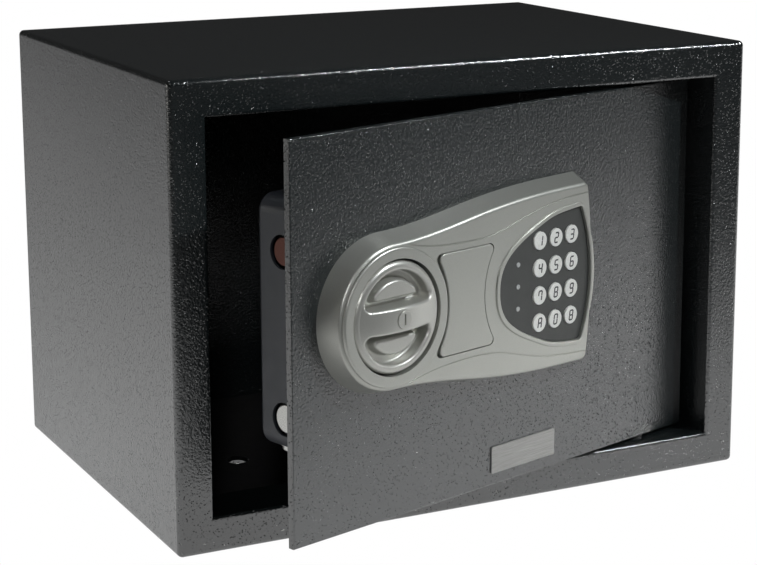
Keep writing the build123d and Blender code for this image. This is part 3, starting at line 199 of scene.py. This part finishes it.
class SafeStageSettings(bpy.types.PropertyGroup):
    """Camera, floor and even light."""

    lens: FloatProperty(name="Lens", description="Focal length in millimetres", default=96.8,
                        subtype="DISTANCE_CAMERA", min=1)
    place: FloatVectorProperty(name="Camera place", description="Where the camera stands",
                               default=(-0.5271, -1.0637, 0.3891), subtype="TRANSLATION", size=3)
    yaw: angle("Yaw", "Turn of the camera towards the right", 26.52)
    pitch: angle("Pitch", "Tilt of the camera, upwards positive", -11.50)
    roll: angle("Roll", "Turn of the camera about its line of sight", -0.25)
    shift: FloatProperty(name="Shift", description="Vertical lens shift", default=-0.1)
    floor: colour("Floor", "Colour of the floor", (0.86, 0.86, 0.86))
    floor_width: length("Floor width", "Edge of the square floor", 14)
    whiteness: share("Whiteness", "How white the floor looks to the eye, against its shadow", 1.0)
    front_start: length("Front start", "Where the white floor begins to fade in front", 0.28)
    front_end: length("Front end", "Where it has faded in front", 0.47)
    front_turn: length("Front turn", "How much further it stays white on the right", 0.105)
    back_start: length("Back start", "Where the white floor begins to fade behind", 0.05)
    back_end: length("Back end", "Where it has faded behind", 0.65)
    near_left: share("Near left", "How white gloss sees the near floor on the left", 0.84)
    left_start: length("Left start", "Where the white floor begins to fade on the left", 0.50)
    left_end: length("Left end", "Where it has faded on the left", 0.95)
    far_left: share("Far left", "How white gloss sees the far floor on the left", 0.15)
    far_front: share("Far front", "How white gloss sees all that is far in front", 0.02)
    far_back: share("Far back", "How white gloss sees the far floor behind", 0.62)
    horizon: FloatProperty(name="Horizon", description="Strength of the soft light near the floor",
                           default=0.02, min=0)
    ceiling: FloatProperty(name="Ceiling", description="How bright gloss sees the ceiling",
                           default=0.035, min=0)
    zenith: FloatProperty(name="Zenith", description="Strength of the soft light from above",
                          default=0.05, min=0)


def settings(name):
    """One of the scene's setting groups."""
    return getattr(bpy.context.scene, name)


# ---------------------------------------------------------------- modelling helpers

def leave_all():
    """Object mode with nothing selected."""
    if bpy.context.object and bpy.context.object.mode != "OBJECT":
        bpy.ops.object.mode_set(mode="OBJECT")
    bpy.ops.object.select_all(action="DESELECT")


def added(name):
    """The object that an operator has just added, named."""
    piece = bpy.context.object
    piece.name = name
    piece.data.name = name
    return piece


def choose(*pieces):
    """Selects these objects only, the first one active."""
    leave_all()
    for piece in pieces:
        piece.select_set(True)
    bpy.context.view_layer.objects.active = pieces[0]


def settle(piece):
    """Moves the object's place, turn and size into its mesh."""
    choose(piece)
    bpy.ops.object.transform_apply(location=True, rotation=True, scale=True)


def finish_modifiers(piece):
    """Applies every modifier of the piece in order."""
    choose(piece)
    for modifier in list(piece.modifiers):
        bpy.ops.object.modifier_apply(modifier=modifier.name)


def joined(pieces, name):
    """Several objects made one mesh."""
    choose(*pieces)
    if len(pieces) > 1:
        bpy.ops.object.join()
    return added(name)


# ---------------------------------------------------------------- material helpers

def mapped(tree, value, low, high, start, end):
    """A value mapped from start and end to low and high, and held beyond them."""
    made = tree.nodes.new("ShaderNodeMapRange")
    limits = {"From Min": start, "From Max": end, "To Min": low, "To Max": high}
    for name, limit in limits.items():
        made.inputs[name].default_value = limit
    tree.links.new(value, made.inputs["Value"])
    return made.outputs["Result"]


def combined(tree, operation, first, second):
    """One sum on two values or sockets."""
    made = tree.nodes.new("ShaderNodeMath")
    made.operation = operation
    for index, value in enumerate((first, second)):
        if isinstance(value, (int, float)):
            made.inputs[index].default_value = value
        else:
            tree.links.new(value, made.inputs[index])
    return made.outputs["Value"]


class Finish:
    """A node material with one shader and a few ways to drive it from object space."""

    def __init__(self, name, base, rough, metal=0.0, gloss=0.5):
        self.material = bpy.data.materials.new(name)
        self.material.use_nodes = True
        self.tree = self.material.node_tree
        self.shader = self.tree.nodes["Principled BSDF"]
        self.put("Base Color", (*base, 1))
        self.put("Roughness", rough)
        self.put("Metallic", metal)
        self.put("Specular IOR Level", gloss)
        coordinates = self.tree.nodes.new("ShaderNodeTexCoord")
        self.place = coordinates.outputs["Object"]

    def put(self, socket, value):
        """Sets a socket of the shader to one value."""
        self.shader.inputs[socket].default_value = value

    def node(self, kind, **values):
        """A new node with its properties and sockets set."""
        made = self.tree.nodes.new(kind)
        for key, value in values.items():
            if key in made.inputs:
                made.inputs[key].default_value = value
            else:
                setattr(made, key, value)
        return made

    def link(self, output, target):
        """Joins two sockets."""
        self.tree.links.new(output, target)

    def stretched(self, scale):
        """Object coordinates stretched along the axes."""
        mapping = self.node("ShaderNodeMapping")
        mapping.inputs["Scale"].default_value = scale
        self.link(self.place, mapping.inputs["Vector"])
        return mapping.outputs["Vector"]

    def noise(self, size, detail=3.0, roughness=0.5, vector=None):
        """Noise whose features are about this size."""
        made = self.node("ShaderNodeTexNoise", Scale=1 / size, Detail=detail, Roughness=roughness)
        self.link(vector or self.place, made.inputs["Vector"])
        return made.outputs["Fac"]

    def cells(self, size):
        """Distance to the middle of cells of about this size."""
        made = self.node("ShaderNodeTexVoronoi", Scale=1 / size, feature="F1")
        self.link(self.place, made.inputs["Vector"])
        return made.outputs["Distance"]

    def bands(self, size):
        """Level bands, each of this height."""
        made = self.node("ShaderNodeTexWave", Scale=math.pi / (10 * size),
                         wave_type="BANDS", bands_direction="Z")
        self.link(self.place, made.inputs["Vector"])
        return made.outputs["Fac"]

    def math(self, operation, first, second):
        """One sum on two values or sockets."""
        return combined(self.tree, operation, first, second)

    def blend_of(self, factor, low, high, start=0.3, end=0.7):
        """A colour ramp from low to high."""
        ramp = self.node("ShaderNodeValToRGB")
        ramp.color_ramp.elements[0].position = start
        ramp.color_ramp.elements[0].color = (*low, 1)
        ramp.color_ramp.elements[1].position = end
        ramp.color_ramp.elements[1].color = (*high, 1)
        self.link(factor, ramp.inputs["Fac"])
        return ramp.outputs["Color"]

    def range_of(self, factor, low, high, start=0.3, end=0.7):
        """A value mapped from one range to another."""
        return mapped(self.tree, factor, low, high, start, end)

    def colour(self, output):
        """Drives the base colour."""
        self.link(output, self.shader.inputs["Base Color"])

    def roughness(self, output):
        """Drives the roughness."""
        self.link(output, self.shader.inputs["Roughness"])

    def relief(self, height, depth, strength=1.0):
        """Adds a bump of this depth, on top of any bump already there."""
        bump = self.node("ShaderNodeBump", Distance=depth, Strength=strength)
        self.link(height, bump.inputs["Height"])
        normal = self.shader.inputs["Normal"]
        if normal.is_linked:
            self.link(normal.links[0].from_socket, bump.inputs["Normal"])
        self.link(bump.outputs["Normal"], normal)
        return self


def shaded(base, times):
    """A colour made this many times as bright."""
    return tuple(part * times for part in base)


def textured_coat():
    """Glossy leather-grained powder coat: soft wrinkles with small steep pits, painted darker in
    the pits as painted shade.
    """
    use = settings("safe_finish")
    made = Finish("textured powder coat", use.coat, rough=0.2, gloss=1.0)
    made.put("IOR", use.coat_index)
    wrinkles = made.noise(use.coat_grain * WRINKLE_SHARE, detail=2.0)
    clouds = made.noise(use.coat_grain * PATCH_SHARE, detail=2.0)
    patches = made.range_of(clouds, low=0, high=1, start=0.3, end=0.5)
    hollow = made.range_of(made.cells(use.coat_grain), low=1, high=0, start=0.05, end=0.30)
    pits = made.math("MULTIPLY", hollow, patches)
    # Painted shade: the colour darkens to the Powder coat colour in the pits.
    made.colour(made.blend_of(pits, use.coat_outside_pit_shade, use.coat, start=0.1, end=0.9))
    made.roughness(made.range_of(wrinkles, low=0.16, high=0.24))
    made.relief(wrinkles, use.coat_swell)
    made.relief(made.math("SUBTRACT", 1, pits), use.coat_relief)
    return made.material


def satin_paint(name, base):
    """Satin silver paint with very fine flakes."""
    made = Finish(name, base, rough=0.36, metal=0.62)
    flakes = made.cells(size=0.00022)
    made.colour(made.blend_of(flakes, base, shaded(base, 1.14), start=0.2, end=0.8))
    made.roughness(made.range_of(made.noise(size=0.02), low=0.34, high=0.40))
    return made.relief(made.noise(size=0.0006), depth=0.00002, strength=0.6).material


def moulded(name, base, rough, grain=0.0004, depth=0.00003):
    """Moulded plastic with a fine matt grain."""
    made = Finish(name, base, rough)
    speckle = made.noise(grain)
    made.colour(made.blend_of(speckle, shaded(base, 0.9), shaded(base, 1.1)))
    clouds = made.noise(size=0.006, detail=2.0)
    made.roughness(made.range_of(clouds, low=rough - 0.05, high=rough + 0.06))
    return made.relief(speckle, depth, strength=0.7).material


def metal(name, base, rough, grain=EVEN):
    """Metal with a turned or rolled grain, finer along one axis."""
    made = Finish(name, base, rough, metal=1.0)
    drawn = made.noise(size=0.0004, detail=4.0, roughness=0.6, vector=made.stretched(grain))
    made.colour(made.blend_of(drawn, shaded(base, 0.86), base))
    made.roughness(made.range_of(drawn, low=rough - 0.06, high=rough + 0.1))
    return made.relief(drawn, depth=0.000012, strength=0.6).material


def needle_felt():
    """Dense felt of short fibres, darkened to near black as painted shade of the closed interior.
    """
    # Painted shade: both felt colours are near black to stand for the shade inside the safe.
    black, grey = (0.004, 0.004, 0.0045), (0.010, 0.010, 0.011)
    made = Finish("needle felt", black, rough=0.95, gloss=0.05)
    made.put("Sheen Weight", 0.05)
    made.put("Sheen Roughness", 0.6)
    fibres = [made.noise(size=0.0007, detail=5.0, roughness=0.7, vector=made.stretched(way))
              for way in FIBRE_WAYS]
    nap = made.math("MAXIMUM", *fibres)
    made.colour(made.blend_of(nap, black, grey, start=0.45, end=0.75))
    return made.relief(nap, depth=0.0004, strength=0.9).material


def circuit_board():
    """Solder-masked board with copper tracks showing through."""
    mask, track = (0.012, 0.085, 0.035), (0.03, 0.17, 0.06)
    made = Finish("green circuit board", mask, rough=0.3)
    between_pads = made.math("GREATER_THAN", made.cells(size=0.0045), 0.32)
    tracks = made.math("MULTIPLY", made.bands(size=0.0013), between_pads)
    made.colour(made.blend_of(tracks, mask, track, start=0.55, end=0.62))
    return made.relief(tracks, depth=0.00004, strength=0.6).material


def wound_wire():
    """Enamelled copper wire wound in close turns."""
    made = Finish("wound copper wire", (0.30, 0.10, 0.03), rough=0.3, metal=0.6)
    turns = made.bands(size=0.0004)
    made.colour(made.blend_of(turns, (0.10, 0.03, 0.01), (0.42, 0.15, 0.05)))
    return made.relief(turns, depth=0.00015).material


def cell_wrap():
    """Dark battery wrap with a lighter band at one end."""
    made = Finish("battery wrap", (0.03, 0.035, 0.05), rough=0.25, metal=0.3)
    low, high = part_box("batteries")
    split = made.node("ShaderNodeSeparateXYZ")
    made.link(made.place, split.inputs["Vector"])
    edge = low.z + BAND_START * (high.z - low.z)
    band = made.range_of(split.outputs["Z"], low=0, high=1, start=edge, end=edge + BAND_EDGE)
    made.colour(made.blend_of(band, (0.025, 0.028, 0.036), (0.55, 0.53, 0.48), start=0.2, end=0.8))
    creases = made.noise(size=0.004, detail=2.0)
    return made.relief(creases, depth=0.00003, strength=0.5).material


def clear_lamp():
    """Milky clear moulding of an indicator lamp."""
    made = Finish("clear lamp", (0.42, 0.43, 0.43), rough=0.18, gloss=0.6)
    made.put("Coat Weight", 0.4)
    clouds = made.noise(size=0.0012, detail=2.0)
    made.colour(made.blend_of(clouds, (0.34, 0.35, 0.35), (0.5, 0.51, 0.5)))
    return made.material


def brushed_plate():
    """Anodised aluminium brushed from side to side."""
    made = Finish("brushed aluminium", (0.30, 0.30, 0.29), rough=0.42, metal=0.85)
    level = made.stretched(BRUSHED_LEVEL)
    drawn = made.noise(size=0.0006, detail=4.0, roughness=0.65, vector=level)
    made.colour(made.blend_of(drawn, (0.22, 0.22, 0.215), (0.36, 0.36, 0.35)))
    made.roughness(made.range_of(drawn, low=0.36, high=0.52))
    return made.relief(drawn, depth=0.00002, strength=0.7).material


def number_ink():
    """Matt ink of the key numbers."""
    use = settings("safe_finish")
    return moulded("number ink", use.ink, 0.5, grain=0.0003, depth=0.00001)


# ---------------------------------------------------------------- operators

class SAFE_OT_finish(bpy.types.Operator):
    """Gives every part of the metal and plastic assembly its finish"""

    bl_idname = "safe.finish"
    bl_label = "Finish the parts"

    def execute(self, context):
        use = settings("safe_finish")
        finishes = (
            (textured_coat(), "body_shell front_frame back_panel door_plate hinge_knuckles"),
            (satin_paint("satin silver panel", use.panel), "panel_housing override_cover"),
            (satin_paint("satin silver knob", use.knob), "knob knob_cap"),
            (moulded("keypad plate grey", use.keypad, 0.5), "keypad_plate"),
            (moulded("key white", use.key, 0.32, grain=0.0005, depth=0.00001),
             " ".join(key_names())),
            (clear_lamp(), "indicator_lamps"),
            (moulded("lock cover slate", use.slate, 0.42, grain=0.0005), "lock_cover battery_lid"),
            (metal("bright zinc", ZINC, 0.26, TURNED_ABOUT_X),
             "bolt_lower cover_screws panel_screws base_nuts guide_posts solenoid_spring"),
            # Painted shade and a painted reddish reflection on the upper bolt, in place of its
            # zinc.
            (metal("upper bolt painted shade", UPPER_BOLT_PAINTED_SHADE, 0.36, TURNED_ABOUT_X), "bolt_upper"),
            (metal("zinc plated sheet", ZINC, 0.4, ROLLED_LEVEL),
             "lock_base bolt_carriage weld_studs solenoid_frame override_nut plunger_lifter"),
            (metal("turned steel", TURNED_STEEL, 0.3, TURNED_ABOUT_Y),
             "knob_spindle solenoid_plunger hinge_pins"),
            (brushed_plate(), "badge_plate"),
            (metal("lock brass", LOCK_BRASS, 0.3, TURNED_ABOUT_Y), "key_plug"),
            (metal("nickel plate", NICKEL, 0.22), "override_body battery_contacts"),
            (moulded("black nylon", BLACK_NYLON, 0.5), "hinge_bushes spindle_bush board_spacers"),
            (moulded("contact rubber", CONTACT_RUBBER, 0.7), "keypad_pad"),
            (circuit_board(), "keypad_board control_board"),
            (moulded("black moulding", BLACK_MOULDING, 0.45), "board_parts battery_tray"),
            (wound_wire(), "solenoid_coil"),
            (cell_wrap(), "batteries"),
            (moulded("lead insulation", LEAD_BLACK, 0.5, grain=0.001), "keypad_lead power_leads"),
            (moulded("reset red", RESET_RED, 0.35), "reset_button"),
        )
        for material, names in finishes:
            for name in names.split():
                slots = NODES[name].material_slots
                if not slots:
                    NODES[name].data.materials.append(material)
                for slot in slots:
                    slot.material = material
        return {"FINISHED"}


# The seven strokes of a number: the middle of each, in half widths and half heights from the
# number's own middle, and which way it runs.
STROKES = {
    "a": (0, 1, "flat"), "g": (0, 0, "flat"), "d": (0, -1, "flat"),
    "f": (-1, 0.5, "upright"), "b": (1, 0.5, "upright"),
    "e": (-1, -0.5, "upright"), "c": (1, -0.5, "upright"),
}
# The strokes of each key's number or letter.
NUMBERS = {
    "1": "bc", "2": "abged", "3": "abgcd", "4": "fgbc", "5": "afgcd", "6": "afgecd",
    "7": "fabc", "8": "abcdefg", "9": "abcdfg", "a": "abcefg", "0": "abcdef", "b": "abcdefg",
}


def key_names():
    """Names of the twelve key nodes."""
    return ["key_" + name for name in NUMBERS]


def key_face(name):
    """Middle of a key's front face."""
    across, up, out = [], [], []
    for vertex in NODES[name].data.vertices:
        across.append(vertex.co.dot(ACROSS))
        up.append(vertex.co.z)
        out.append(vertex.co.dot(OUT))
    middle = ACROSS * (min(across) + max(across)) / 2 + OUT * max(out)
    middle.z = (min(up) + max(up)) / 2
    return middle


class SAFE_OT_key_numbers(bpy.types.Operator):
    """Prints a number, or the letter A or B, on each key in slanted strokes"""

    bl_idname = "safe.key_numbers"
    bl_label = "Key numbers"

    def execute(self, context):
        ink = number_ink()
        for name in NUMBERS:
            label = self.label(name)
            label.data.materials.clear()
            label.data.materials.append(ink)
            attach(label, "key_" + name)
        return {"FINISHED"}

    def label(self, name):
        """All strokes of one number, laid on its key."""
        use = settings("safe_labels")
        strokes = [self.stroke(*STROKES[letter]) for letter in NUMBERS[name]]
        label = joined(strokes, "key_label_" + name)
        lean = math.tan(use.slant)
        turn = Matrix((ACROSS, UP, OUT)).transposed()
        seat = key_face("key_" + name)
        for vertex in label.data.vertices:
            x, y, z = vertex.co
            vertex.co = seat + turn @ Vector((x + lean * y, y, z))
        return label

    def stroke(self, x, y, way):
        """One stroke: a bar with rounded ends, as thick as the ink."""
        use = settings("safe_labels")
        half_tall, half_wide = (use.tall - use.stroke) / 2, (use.wide - use.stroke) / 2
        if way == "flat":
            size = (2 * half_wide - use.gap, use.stroke, use.raised)
        else:
            size = (use.stroke, half_tall - use.gap, use.raised)
        middle = (x * half_wide, y * half_tall, use.raised / 2)
        leave_all()
        bpy.ops.mesh.primitive_cube_add(size=1, location=middle, scale=size)
        bar = added("stroke")
        settle(bar)
        weight = bar.data.attributes.new("bevel_weight_edge", "FLOAT", "EDGE")
        for edge in bar.data.edges:
            one, two = (bar.data.vertices[i].co for i in edge.vertices)
            if abs(one.z - two.z) > use.raised / 2:
                weight.data[edge.index].value = 1
        bevel = bar.modifiers.new("ends", "BEVEL")
        bevel.width = use.stroke * use.rounding
        bevel.segments = 3
        bevel.limit_method = "WEIGHT"
        finish_modifiers(bar)
        return bar


class SAFE_OT_floor_felt(bpy.types.Operator):
    """Lays the felt mat on the floor of the safe"""

    bl_idname = "safe.floor_felt"
    bl_label = "Floor felt"

    def execute(self, context):
        use = settings("safe_mat")
        low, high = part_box("floor_mat")
        size = high - low
        rows = round(use.cells * size.y / size.x)
        middle = ((low.x + high.x) / 2, (low.y + high.y) / 2, low.z)
        leave_all()
        bpy.ops.mesh.primitive_grid_add(x_subdivisions=use.cells, y_subdivisions=rows, size=1,
                                        location=middle)
        felt = added("floor_felt")
        felt.scale = (size.x, size.y, 1)
        settle(felt)
        thick = felt.modifiers.new("thickness", "SOLIDIFY")
        thick.thickness = size.z - use.nap
        thick.offset = 1
        finish_modifiers(felt)
        self.cut_holes(felt, low.z)
        self.roughen(felt, high.z)
        felt.data.materials.clear()
        felt.data.materials.append(needle_felt())
        choose(felt)
        bpy.ops.object.shade_smooth_by_angle(angle=use.crease)
        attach(felt, "housing")
        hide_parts("floor_mat")
        return {"FINISHED"}

    def cut_holes(self, felt, floor):
        """Round holes over the two anchors."""
        use = settings("safe_mat")
        for side in (-1, 1):
            leave_all()
            bpy.ops.mesh.primitive_cylinder_add(vertices=40, radius=use.hole, depth=use.cutter,
                                                location=(side * use.anchors / 2, 0, floor))
            cutter = added("hole")
            cut = felt.modifiers.new("hole", "BOOLEAN")
            cut.operation = "DIFFERENCE"
            cut.solver = "EXACT"
            cut.object = cutter
            finish_modifiers(felt)
            bpy.data.objects.remove(cutter)

    def roughen(self, felt, top):
        """Gives the upper face a slightly uneven nap."""
        use = settings("safe_mat")
        for vertex in felt.data.vertices:
            x, y, z = vertex.co
            if z > top - 2 * use.nap:
                wave = math.sin(x * WAVE_ALONG) * math.sin(y * WAVE_ACROSS + WAVE_START)
                ripple = RIPPLE_SHARE * math.sin(x * RIPPLE_ALONG + y * RIPPLE_ACROSS)
                vertex.co.z += use.nap * WAVE_SHARE * (wave + ripple)


class SAFE_OT_return_spring(bpy.types.Operator):
    """Gives the solenoid's return spring a merged, smoothly shaded copy of its mesh that moves with
    the door
    """

    bl_idname = "safe.return_spring"
    bl_label = "Return spring"

    def execute(self, context):
        use = settings("safe_spring")
        spring = bpy.data.objects.new("return_spring", NODES["solenoid_spring"].data.copy())
        context.scene.collection.objects.link(spring)
        spring.data.name = spring.name
        choose(spring)
        bpy.ops.object.mode_set(mode="EDIT")
        bpy.ops.mesh.select_all(action="SELECT")
        bpy.ops.mesh.remove_doubles(threshold=use.merge)
        bpy.ops.object.mode_set(mode="OBJECT")
        bpy.ops.object.shade_smooth_by_angle(angle=use.crease)
        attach(spring, "door")
        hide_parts("solenoid_spring")
        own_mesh(spring)
        return {"FINISHED"}


LAMPS = (
    # name, place, aim, width, height, watts, beam in degrees, colour
    ("lamp_left", (-1.6, 0.35, 0.35), (-0.17, 0.0, 0.08), 0.9, 0.5, 1.1, 110,
     (1.0, 0.98, 0.93)),
    ("lamp_left_low", (-1.2, 0.1, 0.10), (-0.175, 0, -0.02), 0.3, 0.08, 0.08, 14,
     (1.0, 0.99, 0.96)),
    ("lamp_right_low", (1.1, -0.45, 0.12), (0.10, -0.15, 0.0), 0.3, 0.12, 0.075, 16,
     (1, 1, 0.985)),
    ("lamp_knob", (-0.55, -1.2, 0.75), (-0.05, -0.18, 0.14), 0.25, 0.2, 0.04, 12,
     (1, 1, 1)),
    ("lamp_sparkle", (0.75, -0.90, 1.00), (-0.05, -0.15, 0.2), 0.06, 0.06, 0.6, 40,
     (0.94, 0.98, 1.0)),
    ("lamp_glint", (-0.7, 0.5, 1.3), (0, 0, 0.2), 0.06, 0.06, 0.08, 60,
     (0.92, 0.97, 1.0)),
)


class SAFE_OT_stage(bpy.types.Operator):
    """Sets the floor, the lamps, the even light and the camera"""

    bl_idname = "safe.stage"
    bl_label = "Stage"

    def execute(self, context):
        self.floor()
        self.sky()
        for values in LAMPS:
            self.lamp(*values)
        self.camera()
        context.scene.view_settings.view_transform = "Standard"
        return {"FINISHED"}

    def floor(self):
        """Pale floor, as white to the camera as it is set, and in gloss near the safe."""
        use = settings("safe_stage")
        leave_all()
        bpy.ops.mesh.primitive_plane_add(size=use.floor_width, location=(0, 0, 0))
        floor = added("floor")
        made = Finish("pale floor", use.floor, rough=0.9, gloss=0.1)
        made.relief(made.noise(size=0.003), depth=0.00005, strength=0.3)
        white = made.node("ShaderNodeEmission", Strength=1.0)
        near = made.math("MAXIMUM", self.camera_ray(made.tree), self.near_share(made))
        seen = made.math("MULTIPLY", self.seen_by_eye(made.tree), use.whiteness)
        mix = made.node("ShaderNodeMixShader")
        made.link(made.math("MULTIPLY", seen, near), mix.inputs["Fac"])
        made.link(made.shader.outputs["BSDF"], mix.inputs[1])
        made.link(white.outputs["Emission"], mix.inputs[2])
        made.link(mix.outputs["Shader"], made.tree.nodes["Material Output"].inputs["Surface"])
        floor.data.materials.append(made.material)

    def near_share(self, made):
        """How white gloss sees the floor: white near the safe, less further off."""
        use = settings("safe_stage")
        split = made.node("ShaderNodeSeparateXYZ")
        made.link(made.place, split.inputs["Vector"])
        x, y = split.outputs["X"], split.outputs["Y"]
        depth = made.math("ADD", y, made.range_of(x, 0, use.front_turn, *TURN_FADE))
        front = made.range_of(depth, use.far_front, 1, -use.front_end, -use.front_start)
        back = made.range_of(depth, 1, use.far_back, use.back_start, use.back_end)
        left = made.range_of(x, use.far_left, 1, -use.left_end, -use.left_start)
        near_left = made.range_of(x, use.near_left, 1, *NEAR_LEFT_FADE)
        sides = made.math("MULTIPLY", left, near_left)
        return made.math("MULTIPLY", made.math("MINIMUM", front, back), sides)

    def camera_ray(self, tree):
        """One where the ray comes from the camera."""
        return tree.nodes.new("ShaderNodeLightPath").outputs["Is Camera Ray"]

    def seen_by_eye(self, tree):
        """One where the ray comes from the camera or from gloss or glass."""
        path = tree.nodes.new("ShaderNodeLightPath")
        seen = path.outputs["Is Camera Ray"]
        for name in ("Is Glossy Ray", "Is Transmission Ray"):
            seen = combined(tree, "MAXIMUM", seen, path.outputs[name])
        return seen

    def sky(self):
        """Soft light, a little stronger from above, and what the camera and gloss see there.

        The camera sees plain white. Gloss sees white only behind and below the horizon.
        """
        use = settings("safe_stage")
        world = bpy.data.worlds.new("even light")
        bpy.context.scene.world = world
        world.use_nodes = True
        tree = world.node_tree
        tree.nodes.clear()
        place = tree.nodes.new("ShaderNodeTexCoord")
        split = tree.nodes.new("ShaderNodeSeparateXYZ")
        tree.links.new(place.outputs["Generated"], split.inputs["Vector"])
        depth, height = split.outputs["Y"], split.outputs["Z"]
        soft = mapped(tree, height, use.horizon, use.zenith, *SOFT_FADE)
        below = mapped(tree, height, 1, use.ceiling, *HORIZON_FADE)
        behind = mapped(tree, depth, use.far_front, 1, *BEHIND_FADE)
        mirrored = combined(tree, "MULTIPLY", below, behind)
        white = combined(tree, "MAXIMUM", mirrored, self.camera_ray(tree))
        mix = tree.nodes.new("ShaderNodeMixShader")
        tree.links.new(self.seen_by_eye(tree), mix.inputs["Fac"])
        tree.links.new(self.background(tree, soft), mix.inputs[1])
        tree.links.new(self.background(tree, white), mix.inputs[2])
        output = tree.nodes.new("ShaderNodeOutputWorld")
        tree.links.new(mix.outputs["Shader"], output.inputs["Surface"])

    def background(self, tree, strength):
        """White light of the world with this strength."""
        made = tree.nodes.new("ShaderNodeBackground")
        made.inputs["Color"].default_value = (1, 1, 1, 1)
        tree.links.new(strength, made.inputs["Strength"])
        return made.outputs["Background"]

    def lamp(self, name, place, aim, width, height, power, beam, tint):
        """One flat lamp that faces its aim."""
        leave_all()
        bpy.ops.object.light_add(type="AREA", location=place)
        lamp = added(name)
        lamp.data.shape = "RECTANGLE"
        lamp.data.size = width
        lamp.data.size_y = height
        lamp.data.energy = power
        lamp.data.spread = math.radians(beam)
        lamp.data.color = tint
        towards = Vector(aim) - Vector(place)
        lamp.rotation_euler = towards.to_track_quat("-Z", "Y").to_euler()

    def camera(self):
        """Camera in front of the safe's left corner."""
        use = settings("safe_stage")
        leave_all()
        bpy.ops.object.camera_add(location=use.place)
        camera = added("camera")
        turn = Matrix.Rotation(-use.yaw, 4, "Z") @ Matrix.Rotation(math.pi / 2 + use.pitch, 4, "X")
        turn = turn @ Matrix.Rotation(use.roll, 4, "Z")
        camera.rotation_euler = turn.to_euler()
        camera.data.lens = use.lens
        camera.data.shift_y = use.shift
        bpy.context.scene.camera = camera


class SAFE_PT_panel(bpy.types.Panel):
    """Lists the steps that build the safe"""

    bl_idname = "SAFE_PT_panel"
    bl_label = "Electronic safe"
    bl_space_type = "VIEW_3D"
    bl_region_type = "UI"
    bl_category = "Safe"

    def draw(self, context):
        for name, group, step in STEPS:
            box = self.layout.box()
            for setting in group.__annotations__:
                box.prop(getattr(context.scene, name), setting)
            box.operator(step.bl_idname)


# Each step of the build with its settings and their name in the scene, in order.
STEPS = (
    ("safe_finish", SafeFinishSettings, SAFE_OT_finish),
    ("safe_labels", SafeLabelSettings, SAFE_OT_key_numbers),
    ("safe_mat", SafeMatSettings, SAFE_OT_floor_felt),
    ("safe_spring", SafeSpringSettings, SAFE_OT_return_spring),
    ("safe_stage", SafeStageSettings, SAFE_OT_stage),
)


def register():
    """Adds the settings, steps and panel to Blender."""
    for name, group, step in STEPS:
        bpy.utils.register_class(group)
        setattr(bpy.types.Scene, name, PointerProperty(type=group))
        bpy.utils.register_class(step)
    bpy.utils.register_class(SAFE_PT_panel)


def unregister():
    """Takes them away again."""
    bpy.utils.unregister_class(SAFE_PT_panel)
    for name, group, step in reversed(STEPS):
        bpy.utils.unregister_class(step)
        delattr(bpy.types.Scene, name)
        bpy.utils.unregister_class(group)


def main():
    """Builds everything in order."""
    register()
    bpy.ops.safe.finish()
    bpy.ops.safe.key_numbers()
    bpy.ops.safe.floor_felt()
    bpy.ops.safe.return_spring()
    bpy.ops.safe.stage()
    leave_all()


if __name__ == "__main__":
    main()
